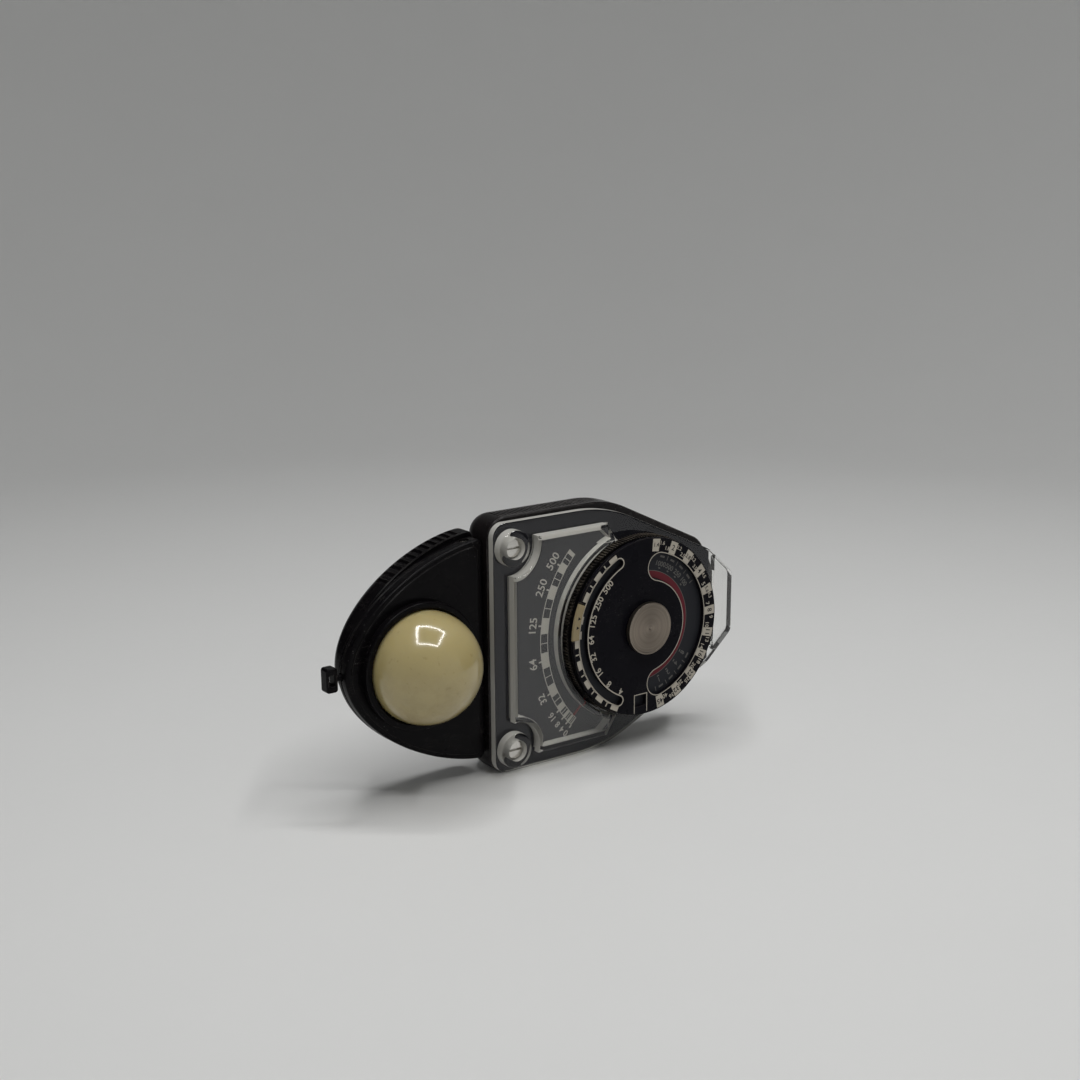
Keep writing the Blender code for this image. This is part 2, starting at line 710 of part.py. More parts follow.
def make_case():
    case = slab("body_case", BLACK, case_outline(), CASE_FRONT, CASE_BACK - CASE_REAR_ROUND)
    round_rim(case, case_outline, CASE_REAR_ROUND, CASE_ROUND_STEPS)
    inner_round = CASE_REAR_ROUND - CASE_WALL
    hollow = tool(slab, case_outline(CASE_WALL), CASE_FRONT - OVERRUN, CASE_FLOOR - inner_round)
    round_rim(hollow, lambda inset: case_outline(CASE_WALL + inset), inner_round, CASE_ROUND_STEPS - 1)
    cut(case, hollow)
    root = CASE_FLOOR + PILLAR_ROOT - CASE_FRONT
    corners = [(BOSS_X, CASE_FRONT, side * BOSS_HALF) for side in (1, -1)]
    for corner in corners:
        fuse(case, tool(turned, rod(PILLAR_R, root), corner, "Y", SMALL_STEPS))
    rear_post = (REAR_SCREW_X, CASE_FRONT, 0)
    fuse(case, tool(turned, rod(REAR_POST_R, root), rear_post, "Y", SMALL_STEPS))
    boss_start = BODY_LEFT + CASE_WALL - SPINDLE_BOSS_ROOT
    fuse(case, tool(turned, rod(SPINDLE_BOSS_R, BOSS_END - boss_start), (boss_start, SWIVEL_DEPTH, 0),
                    "X", SMALL_STEPS))
    bore_start = BODY_LEFT - OVERRUN
    cut(case, tool(turned, rod(SPINDLE_R + GAP, BOSS_END + OVERRUN - bore_start),
                   (bore_start, SWIVEL_DEPTH, 0), "X", SMALL_STEPS))
    for x, y, z in corners:
        cut(case, tool(turned, rod(SCREW_SHANK_R + GAP, SCREW_LENGTH + OVERRUN), (x, y - OVERRUN, z),
                       "Y", SMALL_STEPS))
    cut(case, tool(turned, rod(SCREW_SHANK_R + GAP, CASE_DEPTH + 2 * OVERRUN),
                   (REAR_SCREW_X, CASE_FRONT - OVERRUN, 0), "Y", SMALL_STEPS))
    well = REAR_SCREW_SINK + SCREW_HEAD_HEIGHT + GAP
    cut(case, tool(turned, rod(SCREW_HEAD_R + GAP, well + OVERRUN), (REAR_SCREW_X, CASE_BACK - well, 0),
                   "Y", SMALL_STEPS))
    use_manifold(case)


# Clear cover, its screws and the scale plate under it

def window_outline(left, half, corner_x, centre_x, radius, tip_angle, scallop):
    """A block whose right side is an arc round a point of the X axis, with both left corners cut
    round by the cover's bosses."""
    upper = arc((centre_x, 0), radius, math.pi, tip_angle)
    upper.append((corner_x, half))
    side_x = BOSS_X + math.sqrt(scallop ** 2 - (half - BOSS_HALF) ** 2)
    side_z = BOSS_HALF - math.sqrt(scallop ** 2 - (left - BOSS_X) ** 2)
    first = math.atan2(half - BOSS_HALF, side_x - BOSS_X)
    last = math.atan2(side_z - BOSS_HALF, left - BOSS_X)
    upper += arc((BOSS_X, BOSS_HALF), scallop, first, last)
    return upper + [(x, -z) for x, z in reversed(upper[1:])]


def plateau_outline(inset=0.0):
    radius = DIAL_CLEAR_R + inset
    return window_outline(PLATEAU_LEFT + inset, PLATEAU_HALF - inset, PLATEAU_TOP_RIGHT - inset, 0, radius,
                          PLATEAU_TIP_ANGLE + inset / radius, SCALLOP_R + inset)


def plate_outline(grow=0.0):
    """The scale plate's edge lies a lap outside the hollow behind the raised window."""
    inset = WINDOW_WALL - PLATE_LAP - grow
    right = PLATE_RIGHT + grow
    radius = NEEDLE_CLEAR_R - grow
    tip_angle = math.acos((right - NEEDLE_AXIS_X) / radius)
    return window_outline(PLATEAU_LEFT + inset, PLATEAU_HALF - inset, right, NEEDLE_AXIS_X, radius,
                          tip_angle, SCALLOP_R + inset)


def make_cover():
    cover = slab("clear_cover", CLEAR, rounded(COVER_CORNERS), COVER_FACE, 0)
    root = COVER_FACE / 2
    fuse(cover, tool(slab, plateau_outline(), PLATEAU_FACE, root))
    bosses = [(BOSS_X, side * BOSS_HALF) for side in (1, -1)]
    for x, z in bosses:
        fuse(cover, tool(turned, rod(BOSS_R, root - PLATEAU_FACE), (x, root, z), steps=ROUND_STEPS // 2))
        cut(cover, tool(turned, rod(SCREW_HEAD_R + GAP, SCREW_SINK + OVERRUN),
                        (x, PLATEAU_FACE + SCREW_SINK, z), steps=SMALL_STEPS))
        cut(cover, tool(turned, rod(SCREW_SHANK_R + GAP, OVERRUN - PLATEAU_FACE), (x, OVERRUN, z),
                        steps=SMALL_STEPS))
    cut(cover, tool(turned, rod(SCREW_SHANK_R + GAP, REAR_SOCKET_DEPTH + OVERRUN),
                    (REAR_SCREW_X, OVERRUN, 0), steps=SMALL_STEPS))
    cut(cover, tool(slab, plateau_outline(WINDOW_WALL), PLATEAU_FACE + WINDOW_WALL, OVERRUN))
    cut(cover, tool(slab, plate_outline(GAP), PLATE_FACE - GAP, OVERRUN))
    reach = NEEDLE_LENGTH * math.sin(NEEDLE_TRAVEL / 2) + OVERRUN
    pocket_left = NEEDLE_AXIS_X - NEEDLE_LENGTH
    cut(cover, tool(box, (pocket_left, -NEEDLE_POCKET_DEPTH, -reach), (NEEDLE_POCKET_RIGHT, OVERRUN, reach)))
    cut(cover, tool(turned, rod(POST_R + GAP, 2 * OVERRUN - COVER_FACE), (0, OVERRUN, 0), steps=SMALL_STEPS))
    cut(cover, tool(turned, rod(POST_FLANGE_R + GAP, POST_FLANGE_THICK + GAP + OVERRUN), (0, OVERRUN, 0),
                    steps=SMALL_STEPS))
    use_manifold(cover)
    slab("scale_plate", CHARCOAL, plate_outline(), PLATE_FACE, 0)


def make_body_screws():
    head_face = PLATEAU_FACE + SCREW_SINK - GAP - SCREW_HEAD_HEIGHT
    for place, side in SIDES:
        slotted_screw("cover_screw_" + place, (BOSS_X, head_face, side * BOSS_HALF), "-Y", SCREW_HEAD_R,
                      SCREW_HEAD_HEIGHT, SCREW_SHANK_R, SCREW_LENGTH)
    slotted_screw("rear_screw", (REAR_SCREW_X, CASE_BACK - REAR_SCREW_SINK, 0), "Y", SCREW_HEAD_R,
                  SCREW_HEAD_HEIGHT, SCREW_SHANK_R, REAR_SCREW_LENGTH)


# Movement behind the scale

def make_movement():
    middle = (NEEDLE_AXIS_X, 0, 0)
    chord = REAR_SCREW_X - REAR_POST_R - GAP - NEEDLE_AXIS_X
    chord_angle = math.acos(chord / MOVEMENT_PLATE_R)
    plate = slab("movement_plate", BRASS,
                 arc((NEEDLE_AXIS_X, 0), MOVEMENT_PLATE_R, chord_angle, math.tau - chord_angle),
                 MOVEMENT_PLATE_FACE, MOVEMENT_PLATE_BACK)
    seat = ring(MAGNET_SEAT_OUTER_R, MAGNET_SEAT_INNER_R, -(MAGNET_BACK + GAP), -MOVEMENT_PLATE_BACK + GAP)
    fuse(plate, tool(turned, seat, middle, steps=ROUND_STEPS // 2))
    cut(plate, tool(turned, rod(PIVOT_SCREW_R + GAP, -MOVEMENT_PLATE_FACE + OVERRUN,
                                -MOVEMENT_PLATE_BACK - OVERRUN), middle, steps=SMALL_STEPS))

    magnet = turned("magnet", MAGNET_STEEL, ring(MAGNET_R, MAGNET_BORE_R, -MAGNET_FRONT, -MAGNET_BACK),
                    middle)
    half = MAGNET_SLOT / 2
    cut(magnet, tool(box, (NEEDLE_AXIS_X - half, MAGNET_FRONT - OVERRUN, 0),
                     (NEEDLE_AXIS_X + half, MAGNET_BACK + OVERRUN, MAGNET_R + OVERRUN)))

    core = turned("pole_core", STEEL, rod(CORE_R, -(MAGNET_FRONT + CORE_INSET), -(MAGNET_BACK - CORE_INSET)),
                  middle, steps=ROUND_STEPS // 2)
    reach = MAGNET_BORE_R - GAP
    inset = 2 * CORE_INSET
    fuse(core, tool(box, (NEEDLE_AXIS_X - reach, MAGNET_FRONT + inset, -CORE_LUG_WIDTH / 2),
                    (NEEDLE_AXIS_X + reach, MAGNET_BACK - inset, CORE_LUG_WIDTH / 2)))

    bridge = slab("bridge", BRASS, [
        (NEEDLE_AXIS_X + sx * BRIDGE_HALF_WIDTH, sz * (BRIDGE_POST_HALF + BRIDGE_POST_R))
        for sx, sz in ((1, 1), (-1, 1), (-1, -1), (1, -1))
    ], BRIDGE_FRONT, BRIDGE_FRONT + BRIDGE_THICK)
    post_start = BRIDGE_FRONT + BRIDGE_THICK / 2
    for side in (1, -1):
        fuse(bridge, tool(turned, rod(BRIDGE_POST_R, MOVEMENT_PLATE_FACE - GAP - post_start),
                          (NEEDLE_AXIS_X, post_start, side * BRIDGE_POST_HALF), "Y", SMALL_STEPS))
    stud_z = HAIRSPRING_R + HAIRSPRING_WIRE_R + GAP + STUD_R
    fuse(bridge, tool(turned, rod(STUD_R, COLLET_FRONT + COLLET_THICK - post_start),
                      (NEEDLE_AXIS_X, post_start, stud_z), "Y", SMALL_STEPS // 2))
    cut(bridge, tool(turned, rod(PIVOT_SCREW_R + GAP, BRIDGE_THICK + 2 * OVERRUN),
                     (NEEDLE_AXIS_X, BRIDGE_FRONT - OVERRUN, 0), "Y", SMALL_STEPS))

    front_screw = (NEEDLE_AXIS_X, BRIDGE_FRONT + BRIDGE_THICK - PIVOT_SCREW_LENGTH, 0)
    rear_screw = (NEEDLE_AXIS_X, MOVEMENT_PLATE_BACK - PIVOT_SCREW_REAR_LENGTH, 0)
    turned("pivot_screw_front", STEEL, rod(PIVOT_SCREW_R, PIVOT_SCREW_LENGTH), front_screw, "Y",
           SMALL_STEPS)
    turned("pivot_screw_rear", STEEL, rod(PIVOT_SCREW_R, PIVOT_SCREW_REAR_LENGTH), rear_screw, "Y",
           SMALL_STEPS)
    make_hairspring()
    top = MOVEMENT_PLATE_BACK - TERMINAL_THICK
    half = TERMINAL_SIZE / 2
    box("terminal_block", FIBRE, (TERMINAL_X - half, top, -TERMINAL_SIZE),
        (TERMINAL_X + half, MOVEMENT_PLATE_BACK, TERMINAL_SIZE))


def make_hairspring():
    points = []
    count = HAIRSPRING_TURNS * HAIRSPRING_POINTS
    depth = COLLET_FRONT + COLLET_THICK / 2
    for i in range(count + 1):
        radius = HAIRSPRING_INNER_R + (HAIRSPRING_R - HAIRSPRING_INNER_R) * i / count
        angle = math.pi / 2 + math.tau * i / HAIRSPRING_POINTS
        points.append((NEEDLE_AXIS_X + radius * math.cos(angle), depth, radius * math.sin(angle)))
    wire("hairspring", COPPER, points, HAIRSPRING_WIRE_R)


def make_needle():
    """Modelled pointing along -X, then swung down to its rest at the zero end of the scale."""
    x = NEEDLE_AXIS_X
    hub_back = NEEDLE_HUB_FRONT + NEEDLE_HUB_THICK
    arm_front = (NEEDLE_HUB_FRONT + hub_back - NEEDLE_THICK) / 2
    arm_back = arm_front + NEEDLE_THICK
    pointer_front = PLATE_FACE - GAP - NEEDLE_THICK
    half = NEEDLE_WIDTH / 2
    needle = turned("needle", RED_ENAMEL, rod(NEEDLE_HUB_R, -NEEDLE_HUB_FRONT, -hub_back), (x, 0, 0),
                    steps=SMALL_STEPS)
    step_end = NEEDLE_STEP_R + 2 * NEEDLE_THICK
    step_start = NEEDLE_STEP_R - NEEDLE_THICK / 2
    pieces = [
        tool(box, (x - NEEDLE_STEP_R, arm_front, -half), (x + NEEDLE_TAIL, arm_back, half)),
        tool(box, (x - step_end, pointer_front, -half), (x - step_start, arm_back, half)),
        tool(box, (x - NEEDLE_LENGTH, pointer_front, -half), (x - NEEDLE_STEP_R, PLATE_FACE - GAP, half)),
        tool(turned, rod(NEEDLE_TAIL_WEIGHT_R, -NEEDLE_HUB_FRONT, -hub_back), (x + NEEDLE_TAIL, 0, 0),
             steps=SMALL_STEPS),
    ]
    for piece in pieces:
        fuse(needle, piece)
    bore = tool(turned, rod(SHAFT_R + GAP, -NEEDLE_HUB_FRONT + OVERRUN, -hub_back - OVERRUN), (x, 0, 0),
                steps=SMALL_STEPS)
    cut(needle, bore)

    wide = COIL_WIDTH / 2
    coil = box("coil_frame", COPPER, (x - wide, COIL_FRONT, -COIL_OUTER_R),
               (x + wide, COIL_BACK, COIL_OUTER_R))
    window = tool(box, (x - wide - OVERRUN, COIL_FRONT + COIL_BAR, -COIL_INNER_R),
                  (x + wide + OVERRUN, COIL_BACK - COIL_BAR, COIL_INNER_R))
    cut(coil, window)
    inside = COIL_BAR / 2
    shafts = [
        tool(turned, rod(SHAFT_R, -FRONT_PIVOT, -(COIL_FRONT + inside)), (x, 0, 0), steps=SMALL_STEPS),
        tool(turned, rod(SHAFT_R, -(COIL_BACK - inside), -(COIL_BACK + SHAFT_REAR_LENGTH)), (x, 0, 0),
             steps=SMALL_STEPS),
        tool(turned, rod(COLLET_R, -COLLET_FRONT, -(COLLET_FRONT + COLLET_THICK)), (x, 0, 0),
             steps=SMALL_STEPS),
    ]
    for shaft in shafts:
        fuse(coil, shaft)
    swing([needle, *pieces, bore, coil, window, *shafts], (x, 0, 0), -NEEDLE_TRAVEL / 2)
    hang(axis_at("needle_axis", (x, 0, 0)), [needle, coil])


# Exposure calculator on its post

def arc_slot(inner, outer, middle, half):
    """A slot along an arc round the dial, with round ends."""
    first, last = middle - half, middle + half
    centre_r = (inner + outer) / 2
    end_r = (outer - inner) / 2
    ends = [(centre_r * math.cos(a), centre_r * math.sin(a)) for a in (first, last)]
    points = arc((0, 0), outer, first, last)
    points += arc(ends[1], end_r, last, last + math.pi)[1:-1]
    points += arc((0, 0), inner, last, first)
    points += arc(ends[0], end_r, first + math.pi, first + math.tau)[1:-1]
    return points


def arc_block(inner, outer, middle, half):
    first, last = middle - half, middle + half
    return arc((0, 0), outer, first, last) + arc((0, 0), inner, last, first)


def make_calculator():
    bore = circle((0, 0), POST_R + GAP, ROUND_STEPS // 2)
    knurl = []
    for i in range(2 * KNURL_TEETH):
        angle = math.pi * i / KNURL_TEETH
        radius = KNURL_R - (i % 2) * KNURL_DEPTH
        knurl.append((radius * math.cos(angle), radius * math.sin(angle)))
    base = slab("base_disc", BLACK, knurl, BASE_DISC_FACE, BASE_DISC_BACK, holes=[bore])
    washer_back = BASE_DISC_BACK + RUNNING_GAP - GAP
    washer_front = washer_back - FRICTION_WASHER_THICK
    cut(base, tool(turned, rod(FRICTION_WASHER_R + GAP, GAP - washer_front, -BASE_DISC_BACK - OVERRUN),
                   (0, 0, 0)))
    turned("friction_washer", FIBRE, ring(FRICTION_WASHER_R, POST_R + GAP, -washer_front, -washer_back),
           (0, 0, 0))
    speed = slab("speed_disc", CREAM, circle((0, 0), SPEED_DISC_R, 2 * ROUND_STEPS), SPEED_DISC_FACE,
                 SPEED_DISC_BACK, holes=[bore])

    window = [
        (FILM_WINDOW_X + sx * FILM_WINDOW_WIDTH / 2, FILM_WINDOW_TOP - drop)
        for sx, drop in ((1, 0), (-1, 0), (-1, FILM_WINDOW_HEIGHT), (1, FILM_WINDOW_HEIGHT))
    ]
    top = slab("top_disc", BLACK, circle((0, 0), DIAL_R, 2 * ROUND_STEPS), TOP_DISC_FACE, TOP_DISC_BACK,
               holes=[bore, arc_slot(SLOT_INNER_R, SLOT_OUTER_R, math.pi, SLOT_HALF_ANGLE),
                      arc_slot(KIDNEY_INNER_R, KIDNEY_OUTER_R, 0, KIDNEY_HALF_ANGLE), window])
    seat = TOP_DISC_FACE + TAB_SEAT_DEPTH
    cut(top, tool(slab, arc_block(TAB_INNER_R - GAP, TAB_OUTER_R + OVERRUN, TAB_ANGLE,
                                  TAB_HALF_ANGLE + GAP / TAB_INNER_R), TOP_DISC_FACE - OVERRUN, seat))
    tab = slab("index_tab", CREAM, arc_block(TAB_INNER_R, TAB_OUTER_R, TAB_ANGLE, TAB_HALF_ANGLE),
               TOP_DISC_FACE - TAB_RISE, seat - GAP)

    post_end = CAP_FACE + CAP_FACE_WALL + GAP
    turned("dial_post", STEEL, [
        (0, -post_end), (POST_R, -post_end), (POST_R, POST_FLANGE_THICK), (POST_FLANGE_R, POST_FLANGE_THICK),
        (POST_FLANGE_R, 0), (0, 0),
    ], (0, 0, 0), steps=ROUND_STEPS // 2)
    cap_bore = POST_R + GAP
    bore_end = GAP - post_end
    turned("dial_cap", GREY_METAL, [
        (0, -CAP_FACE), (CAP_R - CAP_EDGE, -CAP_FACE), (CAP_R, -CAP_FACE - CAP_EDGE), (CAP_R, -CAP_BACK),
        (cap_bore, -CAP_BACK), (cap_bore, bore_end), (0, bore_end),
    ], (0, 0, 0))
    hang(axis_at("dial_axis", (0, 0, 0)), [base, speed, top, tab])


# Head

def front_outline(inset=0.0):
    return head_outline(HEAD_LENGTH, HEAD_HALF_HEIGHT, 0, inset)


def rear_outline(inset=0.0):
    return head_outline(HEAD_LENGTH - HEAD_REAR_SHORTER, HEAD_HALF_HEIGHT + HEAD_REAR_GROWTH,
                        HEAD_REAR_RISE, inset)


def head_post(shell, side, front, back, bore_r):
    x, z = HEAD_SCREW_X, side * HEAD_SCREW_HALF
    fuse(shell, tool(turned, rod(HEAD_POST_R, back - front), (x, front, z), "Y", SMALL_STEPS))
    cut(shell, tool(turned, rod(bore_r, HEAD_SCREW_LENGTH), (x, HEAD_BACK - HEAD_SCREW_LENGTH - GAP, z), "Y",
                    SMALL_STEPS))


def spindle_bore():
    start = SPINDLE_START + SPINDLE_FLANGE_THICK
    return tool(turned, rod(SPINDLE_R + GAP, HEAD_RIGHT + OVERRUN - start), (start, SWIVEL_DEPTH, 0), "X",
                SMALL_STEPS)


def make_head_front():
    front = slab("head_front", BLACK, front_outline(), HEAD_FACE_DEPTH + HEAD_EDGE, HEAD_FRONT_BACK)
    round_rim(front, front_outline, HEAD_EDGE, 1, to_back=False)
    hollow_front = HEAD_FACE_DEPTH + HEAD_FACE_WALL
    cut(front, tool(slab, front_outline(HEAD_WALL), hollow_front, HEAD_FRONT_BACK + OVERRUN))
    for side in (1, -1):
        head_post(front, side, hollow_front - PILLAR_ROOT, HEAD_FRONT_BACK, SCREW_SHANK_R + GAP)
        surface = head_side_height(SIDE_SCREW_X, HEAD_LENGTH, HEAD_HALF_HEIGHT)
        axis = "Z" if side > 0 else "-Z"
        inner_end = side * (surface - SIDE_SCREW_LENGTH - OVERRUN)
        well = side * (surface - SIDE_SCREW_HEAD_HEIGHT - 2 * GAP)
        cut(front, tool(turned, rod(SIDE_SCREW_SHANK_R + GAP, SIDE_SCREW_LENGTH + 2 * OVERRUN),
                        (SIDE_SCREW_X, LUG_DEPTH, inner_end), axis, SMALL_STEPS))
        cut(front, tool(turned, rod(SIDE_SCREW_HEAD_R + GAP, SIDE_SCREW_LENGTH),
                        (SIDE_SCREW_X, LUG_DEPTH, well), axis, SMALL_STEPS))
    cut(front, tool(turned, rod(BEZEL_NECK_R + GAP, OVERRUN - HEAD_FACE_DEPTH, -HEAD_FRONT_BACK),
                    (DOME_X, 0, 0)))
    cut(front, spindle_bore())
    lug_start = HEAD_TIP - OVERRUN
    cut(front, tool(turned, rod(LUG_NECK_R + GAP, HEAD_WALL + 2 * OVERRUN), (lug_start, LUG_DEPTH, 0), "X",
                    SMALL_STEPS))
    use_manifold(front)
    return front


def make_head_rear():
    rear = slab("head_rear", BLACK, rear_outline(), HEAD_REAR_FRONT, HEAD_BACK - HEAD_REAR_ROUND)
    round_rim(rear, rear_outline, HEAD_REAR_ROUND, HEAD_ROUND_STEPS)
    floor = HEAD_BACK - HEAD_WALL
    inner_round = HEAD_REAR_ROUND - HEAD_WALL
    hollow = tool(slab, rear_outline(HEAD_WALL), HEAD_REAR_FRONT - OVERRUN, floor - inner_round)
    round_rim(hollow, lambda inset: rear_outline(HEAD_WALL + inset), inner_round, HEAD_ROUND_STEPS - 1)
    cut(rear, hollow)
    rim_inner = CELL_R + GAP
    rim_outer = rim_inner + CELL_RIM_THICK
    root = floor + PILLAR_ROOT
    fuse(rear, tool(turned, [
        (CELL_SEAT_INNER_R, -CELL_SEAT_FRONT), (rim_inner, -CELL_SEAT_FRONT), (rim_inner, -HEAD_REAR_FRONT),
        (rim_outer, -HEAD_REAR_FRONT), (rim_outer, -root), (CELL_SEAT_INNER_R, -root),
    ], (DOME_X, 0, 0)))
    for side in (1, -1):
        head_post(rear, side, HEAD_REAR_FRONT, root, SCREW_SHANK_R + GAP)
        well = SCREW_HEAD_HEIGHT + GAP
        cut(rear, tool(turned, rod(SCREW_HEAD_R + GAP, well + OVERRUN),
                       (HEAD_SCREW_X, HEAD_BACK - well, side * HEAD_SCREW_HALF), "Y", SMALL_STEPS))
    cut(rear, spindle_bore())
    cut(rear, grip_grooves())
    use_manifold(rear)
    return rear


def grip_grooves():
    """Coarse finger grooves across both long edges of the rear shell."""
    grooves = []
    for i in range(GRIP_GROOVES):
        x = GRIP_FIRST - i * GRIP_PITCH
        height = outline_height(rear_outline(), x) - HEAD_REAR_RISE
        for side in (1, -1):
            edge = side * height + HEAD_REAR_RISE
            ends = sorted((edge - side * GRIP_DEPTH, edge + side * OVERRUN))
            front = HEAD_REAR_FRONT + GRIP_START
            grooves.append(tool(box, (x - GRIP_GROOVE / 2, front, ends[0]),
                                (x + GRIP_GROOVE / 2, front + GRIP_LENGTH, ends[1])))
    return joined(grooves)


def dome_arc(radius, rings):
    """A quarter circle from the dome's pole to its widest ring."""
    angles = [math.pi / 2 * i / rings for i in range(rings + 1)]
    return [(radius * math.sin(a), DOME_CENTRE_OUT + radius * math.cos(a)) for a in angles]


def make_receptor():
    inner = BEZEL_BORE_R
    skirt_back = DOME_SKIRT - DOME_CENTRE_OUT
    bezel = turned("bezel_ring", BLACK, [
        (inner, -BEZEL_FRONT), (BEZEL_R - BEZEL_EDGE, -BEZEL_FRONT), (BEZEL_R, -BEZEL_FRONT - BEZEL_EDGE),
        (BEZEL_R, -BEZEL_BACK), (BEZEL_NECK_R, -BEZEL_BACK), (BEZEL_NECK_R, -BEZEL_NECK_BACK),
        (BEZEL_SEAT_R, -BEZEL_NECK_BACK), (BEZEL_SEAT_R, -skirt_back - GAP), (inner, -skirt_back - GAP),
    ], (DOME_X, 0, 0))
    hollow_r = DOME_R - DOME_WALL
    outside = dome_arc(DOME_R, DOME_RINGS)
    inside = dome_arc(hollow_r, DOME_INNER_RINGS)[::-1]
    skirt = [(DOME_R, -skirt_back), (hollow_r, -skirt_back)]
    dome = turned("dome", OPAL, outside + skirt + inside, (DOME_X, 0, 0))
    cell = turned("light_cell", SELENIUM, rod(CELL_R, -CELL_FRONT, -(CELL_FRONT + CELL_THICK)),
                  (DOME_X, 0, 0))
    contact = turned("contact_ring", BRASS,
                     ring(CELL_R, CONTACT_RING_INNER_R, -CONTACT_FRONT, -(CONTACT_FRONT + CONTACT_THICK)),
                     (DOME_X, 0, 0))
    spring_back = CELL_SPRING_FRONT + CONTACT_THICK
    spring = turned("cell_spring", BRASS,
                    ring(CELL_R, CONTACT_RING_INNER_R, -CELL_SPRING_FRONT, -spring_back), (DOME_X, 0, 0))
    hang(axis_at("receptor_axis", (DOME_X, 0, 0)), [bezel, dome])
    return [cell, contact, spring]


def make_swivel():
    spindle = turned("swivel_spindle", STEEL, [
        (SPINDLE_BORE_R, SPINDLE_END - SPINDLE_START), (SPINDLE_R, SPINDLE_END - SPINDLE_START),
        (SPINDLE_R, SPINDLE_FLANGE_THICK), (SPINDLE_FLANGE_R, SPINDLE_FLANGE_THICK), (SPINDLE_FLANGE_R, 0),
        (SPINDLE_BORE_R, 0),
    ], (SPINDLE_START, SWIVEL_DEPTH, 0), "X", ROUND_STEPS // 2)
    turned("swivel_washer", BRASS, ring(SWIVEL_WASHER_R, SPINDLE_R + GAP, SWIVEL_WASHER_THICK),
           (SWIVEL_WASHER_START, SWIVEL_DEPTH, 0), "X", ROUND_STEPS // 2)
    nut_at = (SWIVEL_NUT_START, SWIVEL_DEPTH, 0)
    nut = turned("swivel_nut", STEEL, rod(SWIVEL_NUT_R, SWIVEL_NUT_THICK), nut_at, "X", 6)
    cut(nut, tool(turned, rod(SPINDLE_R + GAP, SWIVEL_NUT_THICK + OVERRUN, -OVERRUN), nut_at, "X",
                  SMALL_STEPS))
    lead_start = SPINDLE_START - GAP
    lead_length = SPINDLE_END + LEAD_REACH - lead_start
    leads = [
        turned("cell_lead_" + place, COPPER, rod(LEAD_R, lead_length),
               (lead_start, SWIVEL_DEPTH, side * LEAD_OFFSET), "X", SMALL_STEPS // 2)
        for place, side in SIDES
    ]
    return [spindle, nut, *leads]


def make_head_screws():
    surface = head_side_height(SIDE_SCREW_X, HEAD_LENGTH, HEAD_HALF_HEIGHT) - GAP
    screws = []
    for place, side in SIDES:
        screws.append(slotted_screw("head_screw_" + place, (HEAD_SCREW_X, HEAD_BACK, side * HEAD_SCREW_HALF),
                                    "Y", SCREW_HEAD_R, SCREW_HEAD_HEIGHT, SCREW_SHANK_R,
                                    HEAD_SCREW_LENGTH - GAP))
        screws.append(slotted_screw("side_screw_" + place, (SIDE_SCREW_X, LUG_DEPTH, side * surface),
                                    "Z" if side > 0 else "-Z", SIDE_SCREW_HEAD_R, SIDE_SCREW_HEAD_HEIGHT,
                                    SIDE_SCREW_SHANK_R, SIDE_SCREW_LENGTH))
    return screws


def make_cord_lug():
    middle = LUG_TIP + LUG_LENGTH / 2
    lug = slab("cord_lug", BLACK, rounded([
        (middle + sx * LUG_LENGTH / 2, sz * LUG_HALF_HEIGHT, LUG_ROUND)
        for sx, sz in ((1, -1), (1, 1), (-1, 1), (-1, -1))
    ]), LUG_DEPTH - LUG_THICK / 2, LUG_DEPTH + LUG_THICK / 2, holes=[rounded([
        (middle + sx * LUG_HOLE_LENGTH / 2, sz * LUG_HOLE_HEIGHT / 2, LUG_HOLE_ROUND)
        for sx, sz in ((1, -1), (1, 1), (-1, 1), (-1, -1))
    ])])
    rivet_start = HEAD_TIP + HEAD_WALL + GAP
    neck_start = LUG_TIP + LUG_LENGTH - LUG_HOLE_ROUND
    rivet = rivet_start - neck_start
    fuse(lug, tool(turned, [
        (0, rivet + LUG_RIVET_THICK), (LUG_RIVET_R, rivet + LUG_RIVET_THICK), (LUG_RIVET_R, rivet),
        (LUG_NECK_R, rivet), (LUG_NECK_R, 0), (0, 0),
    ], (neck_start, LUG_DEPTH, 0), "X", SMALL_STEPS))
    return lug


make_case()
make_cover()
make_body_screws()
make_movement()
make_needle()
make_calculator()
head_pieces = [make_head_front(), make_head_rear(), *make_receptor(), *make_swivel(), *make_head_screws(),
               make_cord_lug()]
head_axis = axis_at("head_axis", (HEAD_RIGHT, SWIVEL_DEPTH, 0))
hang(head_axis, [*head_pieces, bpy.data.objects["receptor_axis"]])
for obj in parts.objects:
    if obj.type == "MESH" and obj.data.polygons:
        smooth(obj)
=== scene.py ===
import json
import math

import bmesh
import bpy
from mathutils import Matrix, Vector


